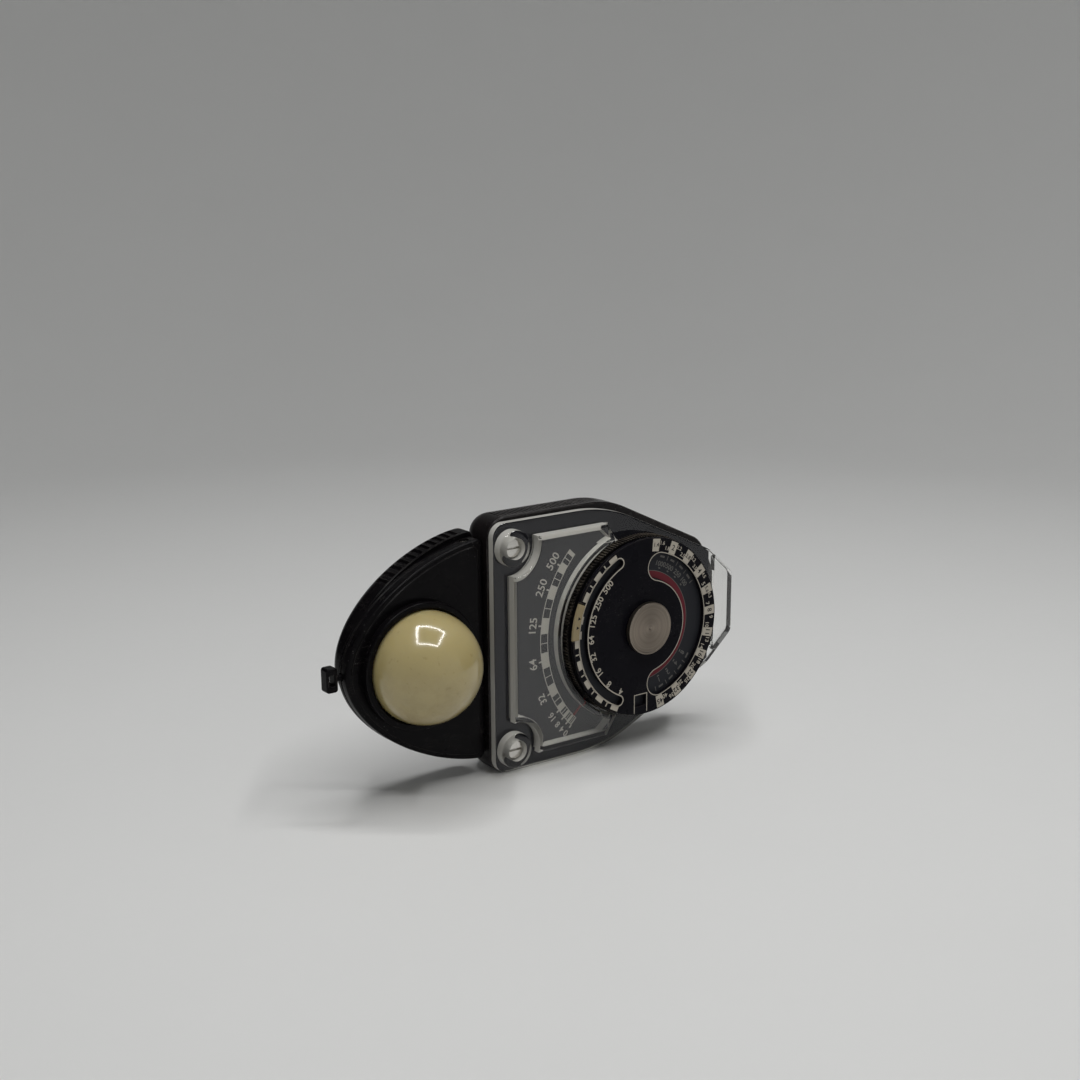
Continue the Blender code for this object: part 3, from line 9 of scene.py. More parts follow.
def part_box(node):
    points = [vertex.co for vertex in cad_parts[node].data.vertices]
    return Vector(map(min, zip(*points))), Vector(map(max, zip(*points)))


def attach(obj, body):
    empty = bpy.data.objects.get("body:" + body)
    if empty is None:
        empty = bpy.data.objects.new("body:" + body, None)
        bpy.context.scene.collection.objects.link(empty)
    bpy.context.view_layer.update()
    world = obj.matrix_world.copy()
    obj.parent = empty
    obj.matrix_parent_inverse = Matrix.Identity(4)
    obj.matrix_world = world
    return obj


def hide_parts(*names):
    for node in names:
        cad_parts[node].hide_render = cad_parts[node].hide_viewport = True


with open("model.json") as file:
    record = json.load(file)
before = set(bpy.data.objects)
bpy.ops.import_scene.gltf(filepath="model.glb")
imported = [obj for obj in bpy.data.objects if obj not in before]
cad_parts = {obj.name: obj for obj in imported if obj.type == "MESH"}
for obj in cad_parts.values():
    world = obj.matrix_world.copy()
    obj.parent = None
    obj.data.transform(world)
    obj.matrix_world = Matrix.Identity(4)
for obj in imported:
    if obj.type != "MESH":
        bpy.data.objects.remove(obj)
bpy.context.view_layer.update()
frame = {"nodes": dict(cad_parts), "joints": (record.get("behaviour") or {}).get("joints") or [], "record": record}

MM = 0.001
JOINT_AT = {joint["name"]: Vector(joint["pos_m"]) for joint in frame["joints"]}
DIAL = JOINT_AT["film_dial_turn"]
TO_WORLD = Matrix.Translation(DIAL) @ Matrix.Scale(MM, 4)


def span(node):
    """Lowest and highest corner of a CAD node, in millimetres from the dial's axis."""
    low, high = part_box(node)
    return (Vector(low) - DIAL) / MM, (Vector(high) - DIAL) / MM


def from_dial(joint):
    return (JOINT_AT[joint] - DIAL) / MM


# Places of the main pieces, read from the frame
CASE_LOW, CASE_HIGH = span("body_case")
COVER_LOW, COVER_HIGH = span("clear_cover")
FRONT_LOW, FRONT_HIGH = span("head_front")
REAR_LOW, REAR_HIGH = span("head_rear")
BEZEL_LOW, BEZEL_HIGH = span("bezel_ring")
DOME_LOW, DOME_HIGH = span("dome")
CELL_LOW, CELL_HIGH = span("light_cell")
BASE_LOW, BASE_HIGH = span("base_disc")
SPEED_LOW, SPEED_HIGH = span("speed_disc")
TOP_LOW, TOP_HIGH = span("top_disc")
TAB_LOW, TAB_HIGH = span("index_tab")
CAP_LOW, CAP_HIGH = span("dial_cap")
PLATE_LOW, PLATE_HIGH = span("scale_plate")
LUG_LOW, LUG_HIGH = span("cord_lug")
POST_HIGH = span("dial_post")[1]
SCREW_LOW, SCREW_HIGH = span("cover_screw_upper")
HEAD_SCREW_LOW, HEAD_SCREW_HIGH = span("head_screw_upper")
SIDE_SCREW_LOW, SIDE_SCREW_HIGH = span("side_screw_upper")
REAR_SCREW_LOW, REAR_SCREW_HIGH = span("rear_screw")
SWIVEL = from_dial("head_swivel")
RECEPTOR = from_dial("receptor_turn")
NEEDLE_PIVOT = from_dial("needle_swing")

# Shared sizes
GAP = 0.3
OVERRUN = 1.0
SIDES = (("upper", 1), ("lower", -1))
ARC_STEP = math.radians(3)
SHARP_ANGLE = math.radians(32)
ROUND_STEPS = 128
SMALL_STEPS = 40
WELD = 0.0005
EASE_STEPS = 4
EASE_SHARE = 0.45            # most of a side that one rounded corner may take
QUARTER = math.pi / 2

# Case
CASE_WALL = 1.8
CASE_ROUND = 6.0
CASE_ROUND_STEPS = 12
CASE_EDGE = 0.25
CASE_CORNERS = [
    (CASE_HIGH.x, 9.0, 4.0),
    (24.0, 17.3, 7.0),
    (-6.1, CASE_HIGH.z, 25.0),
    (CASE_LOW.x, CASE_HIGH.z, 5.0),
]
RIB_GROOVES = 38
RIB_PITCH = 1.0
RIB_GROOVE = 0.45
RIB_DEPTH = 0.4
RIB_START = -37.6
RIB_FRONT = 1.7
RIB_LENGTH = 4.6
PILLAR_R = 3.2
BOSS_END = -37.8
BOSS_R = 3.6

# Clear cover
FLANGE = 2.2
FLANGE_EDGE = 0.35
LIP_DEPTH = 1.5              # the clear end is this much thicker, to the back
PLATEAU_FACE = COVER_LOW.y
PLATEAU_EDGE = 0.85
WINDOW_WALL = 1.3
SEATED = 0.9                 # faces turned this far to the back lie on the case's rim
UPRIGHT = 0.35               # faces turned no further than this to the front or back are walls
COVER_CORNERS = [
    (COVER_HIGH.x, 7.9, 2.5),
    (24.9, 15.2, 8.0),
    (-8.6, COVER_HIGH.z, 38.0),
    (COVER_LOW.x, COVER_HIGH.z, 3.5),
]
CLEAR_END = COVER_CORNERS[1][0]   # past it the cover's walls stay clear
PLATEAU_LEFT = COVER_LOW.x + 4.3
PLATEAU_HALF = COVER_HIGH.z - 3.8
PLATEAU_TOP_RIGHT = -10.0
PLATEAU_TIP_ANGLE = math.radians(106.9)
DIAL_CLEAR_R = 23.4
SCALLOP_R = 6.9
CLEAR_BOSS_R = 4.4
CLEAR_BOSS_EDGE = 0.9
PLATE_THICK = 0.5
PLATE_LAP = 0.5
PLATE_RIGHT = PLATE_HIGH.x
NEEDLE_CLEAR_R = 16.0
NEEDLE_POCKET_DEPTH = 1.6
NEEDLE_POCKET_RIGHT = -4.8
NEEDLE_REACH = 31.5
NEEDLE_SWEEP = 22.0

# Screws
SCREW_X = (SCREW_LOW.x + SCREW_HIGH.x) / 2
SCREW_Z = (SCREW_LOW.z + SCREW_HIGH.z) / 2
SCREW_HEAD_R = 2.3
SCREW_HEAD = 1.4
SCREW_SHANK_R = 1.1
SCREW_SLOT = 0.6
HEAD_SCREW_X = (HEAD_SCREW_LOW.x + HEAD_SCREW_HIGH.x) / 2
HEAD_SCREW_Z = (HEAD_SCREW_LOW.z + HEAD_SCREW_HIGH.z) / 2
SIDE_SCREW_X = (SIDE_SCREW_LOW.x + SIDE_SCREW_HIGH.x) / 2
REAR_SCREW_X = (REAR_SCREW_LOW.x + REAR_SCREW_HIGH.x) / 2
SIDE_SCREW_HEAD_R = 1.0
SIDE_SCREW_HEAD = 0.5
SIDE_SCREW_SHANK_R = 0.6
SCREW_EASE = 0.2

# Head
HEAD_LENGTH = FRONT_HIGH.x - FRONT_LOW.x
HEAD_HALF = (FRONT_HIGH.z - FRONT_LOW.z) / 2
REAR_LENGTH = REAR_HIGH.x - REAR_LOW.x
REAR_HALF = (REAR_HIGH.z - REAR_LOW.z) / 2
REAR_RISE = (REAR_HIGH.z + REAR_LOW.z) / 2
NOSE_POWER = 1.6
SIDE_POWER = 1.8
HEAD_STEPS = 60
HEAD_CORNER = 1.6
HEAD_CORNER_STEPS = 6
HEAD_WALL = 1.8
FACE_WALL = 1.2
HEAD_EDGE = 0.8
FACE_RIM = 1.5
FACE_STEP = 0.25
SEAM_EDGE = 0.2
SIDE_LINE = 2.7
SIDE_LINE_DEPTH = 0.22
REAR_ROUND = 3.5
REAR_ROUND_STEPS = 10
HEAD_POST_R = 2.9
GRIP_GROOVES = 11
GRIP_PITCH = 1.9
GRIP_FIRST = -47.0
GRIP_R = 0.75
GRIP_DEPTH = 0.55
GRIP_START = 0.5
GRIP_LENGTH = 4.6
CELL_RIM = 0.8
CELL_SEAT_R = 9.5
CELL_SEAT_Y = 6.0
SPINDLE_BORE_R = 2.5
LUG_Y = (LUG_LOW.y + LUG_HIGH.y) / 2
LUG_NECK_R = 0.7
LUG_BLOCK_LENGTH = 2.9
LUG_CORNER = 0.7
LUG_EDGE = 0.45
LUG_HOLE = (1.3, 2.6)
LUG_RIVET_R = 1.3
LUG_RIVET = 0.5

# Receptor
DOME_R = (DOME_HIGH.x - DOME_LOW.x) / 2
DOME_CENTRE = DOME_LOW.y + DOME_R
DOME_WALL = 1.2
DOME_RINGS = 32
PAINTED_SHADE_BOTTOM = 0.9           # where the painted shade is full and where it ends, as shares of its radius
PAINTED_SHADE_TOP = 0.55
BEZEL_R = (BEZEL_HIGH.x - BEZEL_LOW.x) / 2
BEZEL_NECK_R = 14.6
BEZEL_SEAT_R = 12.4
BEZEL_EASE = 0.45

# Calculator
DIAL_R = (TOP_HIGH.x - TOP_LOW.x) / 2
KNURL_R = (BASE_HIGH.x - BASE_LOW.x) / 2
KNURL_DEPTH = 0.4
KNURL_TEETH = 168
KNURL_TOOTH = ((0.0, 0.0), (0.3, 0.0), (0.5, 1.0), (0.8, 1.0))   # shares of the pitch and depth
SPEED_R = (SPEED_HIGH.x - SPEED_LOW.x) / 2
DISC_EDGE = 0.15
SHEET_EDGE = DISC_EDGE / 3
POST_R = 2.0
BORE_R = POST_R + GAP
WASHER_POCKET_R = 6.1
WASHER_POCKET = 0.7
SLOT_INNER_R = 18.4
SLOT_OUTER_R = 20.6
SLOT_HALF_ANGLE = math.radians(64)
KIDNEY_INNER_R = 12.1
KIDNEY_OUTER_R = 18.8
KIDNEY_HALF_ANGLE = math.radians(75)
FILM_WINDOW_X = -1.6
FILM_WINDOW_WIDTH = 3.4
FILM_WINDOW_LEFT = FILM_WINDOW_X - FILM_WINDOW_WIDTH / 2
FILM_WINDOW_RIGHT = FILM_WINDOW_X + FILM_WINDOW_WIDTH / 2
FILM_WINDOW_TOP = -17.5
FILM_WINDOW_HEIGHT = 2.8
TAB_ANGLE = math.radians(167)
TAB_HALF_ANGLE = math.radians(11.5)
TAB_INNER_R = 21.2
TAB_OUTER_R = 23.1
TAB_ARROWS = (math.radians(164.3), math.radians(170.2))
TAB_ARROW_TIP_R = 21.5
TAB_ARROW_BASE_R = 22.3
TAB_ARROW_HALF = 0.42
CAP_R = (CAP_HIGH.x - CAP_LOW.x) / 2
CAP_DISH = 0.08
CAP_RIM = 0.55
CAP_PUNCH_R = 0.4
CAP_PUNCH = 0.3
CAP_FACE_WALL = 0.5

# Print on the scale and the discs
INK = 0.02                   # how far print stands out of its surface
INK_ROOT = 0.03
LINE = 0.2
FINE_LINE = 0.14
GLYPH_SHARE = 0.7            # height of a digit as a share of the font's size
BOLD_SHARE = 0.012
GLYPH_STEPS = 3
SCALE_CENTRE = (NEEDLE_PIVOT.x, -0.8)
SCALE_OUTER_R = 32.3
SCALE_INNER_R = 30.2
SCALE_FIRST = 136.4          # degrees from +X, at the high end of the scale
SCALE_MARKS = (
    ("500", 144.8, 2.1), ("250", 156.3, 2.1), ("125", 172.0, 2.1), ("64", 188.0, 2.1), ("32", 204.0, 1.9),
    ("16", 213.8, 1.7), ("8", 218.3, 1.6), ("4", 221.6, 1.6), ("0", 224.4, 1.6),
)
CELL_SHARE = 0.23            # half a pale cell, as a share of the step to the next value
SCALE_TICK = 0.9
SCALE_DIGITS_R = 34.75
STOP_MARKS = ("1.4", "2", "2.8", "4", "5.6", "8", "11", "16", "22", "32", "45")
STOP_THIRDS = (("1.6", "1.8"), ("2.2", "2.5"), ("3.2", "3.5"), ("4.5", "5"), ("6.3", "7"), ("9", "10"),
               ("13", "14"), ("18", "20"), ("25", "28"), ("36", "40"))
STOP_FIRST = math.radians(82.0)
STOP_STEP = math.radians(15.9)
STOP_INNER_R = 19.15
STOP_OUTER_R = 22.3
STOP_CELL_SHARE = 0.19
STOP_DIGIT = 1.35
STOP_DIGIT_LONG = 1.0        # for numbers of three signs
THIRD_DIGIT = 1.15
THIRD_DIGIT_LONG = 0.95
THIRD_OFFSET = 0.55          # the first third stands out from the ring's middle, the second in
SLOT_DIGITS = ("500", "250", "125", "64", "32", "16", "8", "4")
SLOT_FIRST = math.radians(134.7)
SLOT_STEP = math.radians(15.4)
SLOT_DIGITS_R = 17.1
SLOT_DIGIT = 1.65
SLOT_BAND_INNER_R = 20.85
SLOT_BAND_OUTER_R = 22.15
SLOT_CELL_SHARE = 0.21
SLOT_LINE = 0.28
SLOT_TICK = LINE * 1.6
SLOT_BAR = LINE * 1.3
SLOT_BAR_SHARE = 0.13
SLOT_BAR_R = SLOT_BAND_INNER_R + 0.12
SLOT_MARKS = (math.radians(166), math.radians(177))
SLOT_MARK_R = 19.5
SLOT_MARK = 0.8
SLOT_MARK_HALF_ANGLE = 0.05
SPEEDS_HIGH = ("1000", "500", "250", "100")
SPEEDS_LOW = ("1", "2", "4", "8")
SPEED_STEP = math.radians(11.5)
SPEED_END = math.radians(70)
SPEED_DIGIT = 1.25
SPEED_DIGITS_R = 16.0
SPEED_TICK = (14.8, 15.1)
SPEED_DIVIDER = (17.3, 18.5)
SPEED_DASH_R = 17.9
SPEED_DASH = 0.5
SPEED_DASH_SHARE = 5
RED_BAND_R = 13.2
RED_BAND = 1.8
RED_HALF_ANGLE = math.radians(100)

# Floor, light and camera, in metres
FLOOR_R = 0.75
SWEEP_R = 0.35
SWEEP_TOP = 0.95
SWEEP_STEPS = 16
LAMP_SIDE = 0.37             # the square frame of strip lamps overhead
LAMP_WIDTH = 0.034
LAMP_HEIGHT = 0.52
LAMP_POWER = 0.62
LAMP_Y = -0.10
AMBIENT = 0.08
FLAG_R = 0.42                # distance of the dark cards from the middle
FLAG_WIDTH = 0.45
FLAG_HEIGHT = 0.4
FLAG_RIGHT = math.radians(-20)
FLAG_BACK = math.radians(128)
CAMERA_AZIMUTH = math.radians(-38.84)
CAMERA_ELEVATION = math.radians(16.34)
CAMERA_ROLL = math.radians(0.447)
CAMERA_DISTANCE = 0.4515
LENS = 60.0
SENSOR = 36.0
NEAREST = 0.01
IMAGE = 1080.0
DIAL_PIXEL = (627.83, 620.51)

# Colours, as the light falls on them in the photograph
BLACK = (0.0035, 0.003, 0.0036)
RIB_BLACK = (0.0085, 0.0068, 0.0072)
# lighter edges of black plastic: rubbed wear and painted highlight
BLACK_WEAR_AND_HIGHLIGHT = (0.06, 0.054, 0.05)
DISC_BLACK = (0.0045, 0.0042, 0.0065)
CHARCOAL = (0.014, 0.014, 0.019)
SPEED_GREY = (0.026, 0.027, 0.032)
# lighter edges of the ribs, the knurl teeth and the discs: rubbed wear and painted highlight
RIB_WEAR_AND_HIGHLIGHT = (0.16, 0.14, 0.135)
KNURL_WEAR_AND_HIGHLIGHT = (0.26, 0.22, 0.17)
DISC_WEAR_AND_HIGHLIGHT = (0.21, 0.18, 0.15)
SCRATCHED_DISC = (0.09, 0.085, 0.08)
DUST_GREY = (0.30, 0.29, 0.28)
DISC_DUST = (0.28, 0.27, 0.26)
CLEAR = (0.95, 0.95, 0.935)
# pale colour of the opaque side walls: a painted highlight, for the light that clear walls catch
SATIN_WALL_HIGHLIGHT = (0.47, 0.46, 0.43)
CLEAR_SHADOW = (0.93, 0.93, 0.92)
PALE_INK = (0.52, 0.50, 0.45)
DISC_INK = (0.50, 0.46, 0.39)
GREY_INK = (0.16, 0.155, 0.145)
RED_INK = (0.16, 0.026, 0.036)
CREAM = (0.36, 0.29, 0.17)
OPAL = (0.45, 0.37, 0.175)
# darker tone for the painted shade low on the dome and for its stain specks
OPAL_STAIN_AND_SHADE = (0.22, 0.165, 0.06)
CAP_METAL = (0.235, 0.20, 0.165)
CAP_EDGE = (0.62, 0.58, 0.51)
PLATED = (0.72, 0.70, 0.66)
TARNISH = 0.75               # how bright dull metal stays
BRASS = (0.60, 0.44, 0.18)
MAGNET = (0.16, 0.16, 0.17)
COPPER = (0.45, 0.17, 0.08)
CELL_GREY = (0.10, 0.10, 0.11)
NEEDLE_RED = (0.20, 0.022, 0.022)
FIBRE = (0.12, 0.06, 0.03)
SOFT_LIGHT = (0.93, 0.97, 1.0)
FLOOR_COLOUR = (0.76, 0.76, 0.75)
FLOOR_DRIFT = 0.97


# Shader nodes

def node(tree, kind, inputs=None, **settings):
    """Adds a node; an input's value is either a plain value or another node's output."""
    made = tree.nodes.new(kind)
    for name, value in settings.items():
        setattr(made, name, value)
    for name, value in (inputs or {}).items():
        if isinstance(value, bpy.types.NodeSocket):
            tree.links.new(value, made.inputs[name])
        else:
            made.inputs[name].default_value = value
    return made


def maths(tree, operation, first, second=0.0):
    return node(tree, "ShaderNodeMath", {0: first, 1: second}, operation=operation).outputs[0]


def ranged(tree, value, low, high, to_low=0.0, to_high=1.0):
    made = node(tree, "ShaderNodeMapRange", {
        "Value": value, "From Min": low, "From Max": high, "To Min": to_low, "To Max": to_high,
    })
    return made.outputs["Result"]


def blended(tree, share, first, second):
    """A colour between two, by a share. On the mix node these are the sockets 0, 6 and 7."""
    made = tree.nodes.new("ShaderNodeMix")
    made.data_type = "RGBA"
    for index, value in ((0, share), (6, first), (7, second)):
        if isinstance(value, bpy.types.NodeSocket):
            tree.links.new(value, made.inputs[index])
        else:
            made.inputs[index].default_value = value if index == 0 else (*value, 1)
    return made.outputs[2]


def noise(tree, place, scale, detail=3.0, roughness=0.5):
    made = node(tree, "ShaderNodeTexNoise", {
        "Vector": place, "Scale": scale, "Detail": detail, "Roughness": roughness,
    })
    return made.outputs["Fac"]


def object_place(tree):
    return node(tree, "ShaderNodeTexCoord").outputs["Object"]


def new_group(name, inputs, outputs):
    """An empty node group; returns its tree, its input sockets and its output node."""
    tree = bpy.data.node_groups.new(name, "ShaderNodeTree")
    sockets = tree.interface
    for label, value in inputs.items():
        made = sockets.new_socket(label, in_out="INPUT", socket_type="NodeSocketFloat")
        made.default_value = value
    for label in outputs:
        sockets.new_socket(label, in_out="OUTPUT", socket_type="NodeSocketFloat")
    return tree, tree.nodes.new("NodeGroupInput"), tree.nodes.new("NodeGroupOutput")


def edge_wear_and_highlight_group():
    """Where a surface turns over an edge, broken up so that it looks uneven: rubbed wear there, and a painted
    highlight along the edge.
    """
    tree, given, out = new_group("edge_wear_and_highlight", {"Width": 0.0002, "Patch Scale": 300.0}, ("Mask",))
    bent = node(tree, "ShaderNodeBevel", {"Radius": given.outputs["Width"]}, samples=6)
    flat = node(tree, "ShaderNodeNewGeometry")
    facing = node(tree, "ShaderNodeVectorMath", {0: bent.outputs["Normal"], 1: flat.outputs["Normal"]},
                  operation="DOT_PRODUCT").outputs["Value"]
    edge = ranged(tree, facing, 0.995, 0.86)
    uneven = noise(tree, object_place(tree), given.outputs["Patch Scale"], 4.0, 0.6)
    patches = ranged(tree, uneven, 0.36, 0.66)
    tree.links.new(maths(tree, "MULTIPLY", edge, patches), out.inputs["Mask"])
    return tree


def grain_group():
    """Fine moulded or brushed unevenness: a coarse drift and a fine grain."""
    tree, given, out = new_group("grain", {"Scale": 3000.0}, ("Fine", "Drift"))
    place = object_place(tree)
    fine = noise(tree, place, given.outputs["Scale"], 4.0, 0.6)
    drift = noise(tree, place, maths(tree, "MULTIPLY", given.outputs["Scale"], 0.035), 3.0, 0.55)
    tree.links.new(fine, out.inputs["Fine"])
    tree.links.new(drift, out.inputs["Drift"])
    return tree


def dust_group():
    """Small specks of dust and lint, thicker in some places than in others."""
    tree, given, out = new_group("dust", {"Scale": 900.0, "Amount": 0.3}, ("Mask",))
    place = object_place(tree)
    cells = node(tree, "ShaderNodeTexVoronoi", {"Vector": place, "Scale": given.outputs["Scale"]})
    specks = ranged(tree, cells.outputs["Distance"], 0.16, 0.07)
    clouds = ranged(tree, noise(tree, place, 60.0, 3.0, 0.6), 0.45, 0.7)
    share = maths(tree, "MULTIPLY", maths(tree, "MULTIPLY", specks, clouds), given.outputs["Amount"])
    tree.links.new(share, out.inputs["Mask"])
    return tree


def scratches_group():
    """Hairline scratches in two directions, from thin bands of stretched noise."""
    tree, given, out = new_group("scratches", {"Scale": 120.0, "Fineness": 0.006}, ("Mask",))
    place = object_place(tree)
    masks = []
    for turn, stretch in ((0.7, 14.0), (-0.45, 18.0)):
        laid = node(tree, "ShaderNodeMapping", {
            "Vector": place, "Rotation": (0.0, turn, 0.0), "Scale": (1.0, 1.0, stretch),
        })
        value = noise(tree, laid.outputs["Vector"], given.outputs["Scale"], 2.0, 0.4)
        off = maths(tree, "ABSOLUTE", maths(tree, "SUBTRACT", value, 0.5))
        line = maths(tree, "LESS_THAN", off, given.outputs["Fineness"])
        broken = ranged(tree, noise(tree, place, 210.0, 2.0, 0.5), 0.52, 0.62)
        masks.append(maths(tree, "MULTIPLY", line, broken))
    tree.links.new(maths(tree, "MAXIMUM", *masks), out.inputs["Mask"])
    return tree


# mask for rubbed edges and for the highlight painted along them
EDGE_WEAR_AND_HIGHLIGHT = edge_wear_and_highlight_group()
GRAIN = grain_group()
DUST = dust_group()
SCRATCHES = scratches_group()


def group(tree, shared, **inputs):
    made = tree.nodes.new("ShaderNodeGroup")
    made.node_tree = shared
    for name, value in inputs.items():
        made.inputs[name.replace("_", " ")].default_value = value
    return made.outputs


def blank(name, metallic=0.0, **plain):
    """A material with its Principled shader; plain values go straight on the shader's sockets."""
    material = bpy.data.materials.new(name)
    material.use_nodes = True
    shader = material.node_tree.nodes["Principled BSDF"]
    shader.inputs["Metallic"].default_value = metallic
    for label, value in plain.items():
        shader.inputs[label.replace("_", " ")].default_value = value
    return material, material.node_tree, shader


def bumped(tree, shader, height, strength, distance=0.00003):
    bump = node(tree, "ShaderNodeBump", {"Height": height, "Strength": strength, "Distance": distance})
    tree.links.new(bump.outputs["Normal"], shader.inputs["Normal"])


def moulded_plastic(name, colour, wear_and_highlight_colour, roughness, specular, wear_and_highlight_width=0.00022, dust=0.35):
    """Black moulding: a fine grain, edges lighter with rubbed wear and with painted highlight, hairline scratches
    and a little dust.
    """
    material, tree, shader = blank(name, Specular_IOR_Level=specular, IOR=1.5)
    grains = group(tree, GRAIN, Scale=3200.0)
    wear_and_highlight = group(tree, EDGE_WEAR_AND_HIGHLIGHT, Width=wear_and_highlight_width)["Mask"]
    specks = group(tree, DUST, Amount=dust)["Mask"]
    lines = group(tree, SCRATCHES)["Mask"]
    rubbed_and_highlit = blended(tree, wear_and_highlight, colour, wear_and_highlight_colour)
    scratched = blended(tree, maths(tree, "MULTIPLY", lines, 0.25), rubbed_and_highlit, wear_and_highlight_colour)
    dusty = blended(tree, specks, scratched, DUST_GREY)
    tree.links.new(dusty, shader.inputs["Base Color"])
    drift = ranged(tree, grains["Drift"], 0.35, 0.65, roughness - 0.06, roughness + 0.08)
    uneven = maths(tree, "ADD", drift, maths(tree, "MULTIPLY", wear_and_highlight, 0.18))
    tree.links.new(uneven, shader.inputs["Roughness"])
    bumped(tree, shader, grains["Fine"], 0.12)
    return material


def clear_plastic(name, colour, clearness, least_haze, most_haze):
    """Acrylic with hairline scratches: clear where it is polished, and opaque satin with no clearness, where a
    pale colour is a painted highlight.
    """
    material, tree, shader = blank(name, Transmission_Weight=clearness, IOR=1.46,
                                   Specular_IOR_Level=0.2)
    shader.inputs["Base Color"].default_value = (*colour, 1)
    lines = group(tree, SCRATCHES, Scale=150.0, Fineness=0.004)["Mask"]
    grains = group(tree, GRAIN, Scale=1500.0)
    haze = ranged(tree, grains["Drift"], 0.3, 0.7, least_haze, most_haze)
    uneven = maths(tree, "ADD", haze, maths(tree, "MULTIPLY", lines, 0.12))
    tree.links.new(uneven, shader.inputs["Roughness"])
    bumped(tree, shader, grains["Drift"], 0.05, 0.00008)
    through = node(tree, "ShaderNodeBsdfTransparent", {"Color": (*CLEAR_SHADOW, 1)})
    shadow = node(tree, "ShaderNodeLightPath").outputs["Is Shadow Ray"]
    mix = node(tree, "ShaderNodeMixShader", {
        0: shadow, 1: shader.outputs["BSDF"], 2: through.outputs["BSDF"],
    })
    tree.links.new(mix.outputs["Shader"], tree.nodes["Material Output"].inputs["Surface"])
    return material


def opal_plastic():
    """Yellowed diffuser: light spreads inside it; it is darker towards the bottom as painted shade, mottled, with
    faint stain specks.
    """
    material, tree, shader = blank("opal_plastic", Subsurface_Weight=0.35, Subsurface_Scale=0.004,
                                   Coat_Weight=0.6, Coat_Roughness=0.04, IOR=1.49)
    shader.inputs["Subsurface Radius"].default_value = (1.0, 0.8, 0.45)
    place = object_place(tree)
    height = node(tree, "ShaderNodeSeparateXYZ", {"Vector": place}).outputs["Z"]
    bottom = DIAL.z - DOME_R * MM * PAINTED_SHADE_BOTTOM
    top = DIAL.z + DOME_R * MM * PAINTED_SHADE_TOP
    # painted shade: darker towards the bottom of the dome, mottled
    low = ranged(tree, height, bottom, top, 1.0, 0.0)
    mottle = ranged(tree, noise(tree, place, 190.0, 5.0, 0.62), 0.42, 0.72)
    specks = ranged(tree, noise(tree, place, 700.0, 2.0, 0.5), 0.66, 0.74)
    patches = maths(tree, "ADD", maths(tree, "MULTIPLY", mottle, 0.5), 0.3)
    shade_and_stain = maths(tree, "MULTIPLY", low, patches)
    tinted = blended(tree, shade_and_stain, OPAL, OPAL_STAIN_AND_SHADE)
    speckled = blended(tree, maths(tree, "MULTIPLY", specks, 0.22), tinted, OPAL_STAIN_AND_SHADE)
    tree.links.new(speckled, shader.inputs["Base Color"])
    tree.links.new(ranged(tree, mottle, 0.0, 1.0, 0.16, 0.28), shader.inputs["Roughness"])
    bumped(tree, shader, noise(tree, place, 260.0, 3.0, 0.5), 0.08, 0.0001)
    return material


def satin_black_disc():
    """Black enamel, rubbed through at the edges and lighter there as painted highlight, with hairline scratches
    and dust.
    """
    material, tree, shader = blank("black_enamel", Specular_IOR_Level=0.05, IOR=1.5)
    grains = group(tree, GRAIN, Scale=4200.0)
    wear_and_highlight = group(tree, EDGE_WEAR_AND_HIGHLIGHT, Width=0.00025, Patch_Scale=220.0)["Mask"]
    specks = group(tree, DUST, Amount=0.3, Scale=1200.0)["Mask"]
    lines = group(tree, SCRATCHES, Scale=170.0, Fineness=0.004)["Mask"]
    rubbed_and_highlit = blended(tree, wear_and_highlight, DISC_BLACK, DISC_WEAR_AND_HIGHLIGHT)
    scratched = blended(tree, maths(tree, "MULTIPLY", lines, 0.2), rubbed_and_highlit, SCRATCHED_DISC)
    tree.links.new(blended(tree, specks, scratched, DISC_DUST), shader.inputs["Base Color"])
    tree.links.new(ranged(tree, grains["Drift"], 0.35, 0.65, 0.24, 0.36), shader.inputs["Roughness"])
    bumped(tree, shader, grains["Fine"], 0.08)
    return material


def painted(name, colour, roughness=0.5, fade=0.12, chip=0.0):
    """Flat paint or ink: a slight drift in tone, and where it is chipped, the dark ground shows."""
    material, tree, shader = blank(name, Specular_IOR_Level=0.1)
    grains = group(tree, GRAIN, Scale=2600.0)
    faded = tuple(channel * (1 - fade) for channel in colour)
    tone = blended(tree, grains["Drift"], colour, faded)
    if chip:
        chips = ranged(tree, grains["Fine"], 0.66, 0.72, 0.0, chip)
        tone = blended(tree, chips, tone, CHARCOAL)
    tree.links.new(tone, shader.inputs["Base Color"])
    tree.links.new(ranged(tree, grains["Fine"], 0.3, 0.7, roughness - 0.06, roughness + 0.08),
                   shader.inputs["Roughness"])
    bumped(tree, shader, grains["Fine"], 0.1)
    return material


def metal(name, colour, roughness):
    """Bare metal: a slight tarnish that drifts, and brighter edges."""
    material, tree, shader = blank(name, metallic=1.0)
    grains = group(tree, GRAIN, Scale=2400.0)
    wear_and_highlight = group(tree, EDGE_WEAR_AND_HIGHLIGHT, Width=0.00012)["Mask"]
    dull = tuple(channel * TARNISH for channel in colour)
    tone = blended(tree, grains["Drift"], colour, dull)
    bright = blended(tree, maths(tree, "MULTIPLY", wear_and_highlight, 0.5), tone, PLATED)
    tree.links.new(bright, shader.inputs["Base Color"])
    tree.links.new(ranged(tree, grains["Fine"], 0.3, 0.7, roughness - 0.08, roughness + 0.1),
                   shader.inputs["Roughness"])
    bumped(tree, shader, grains["Fine"], 0.1)
    return material


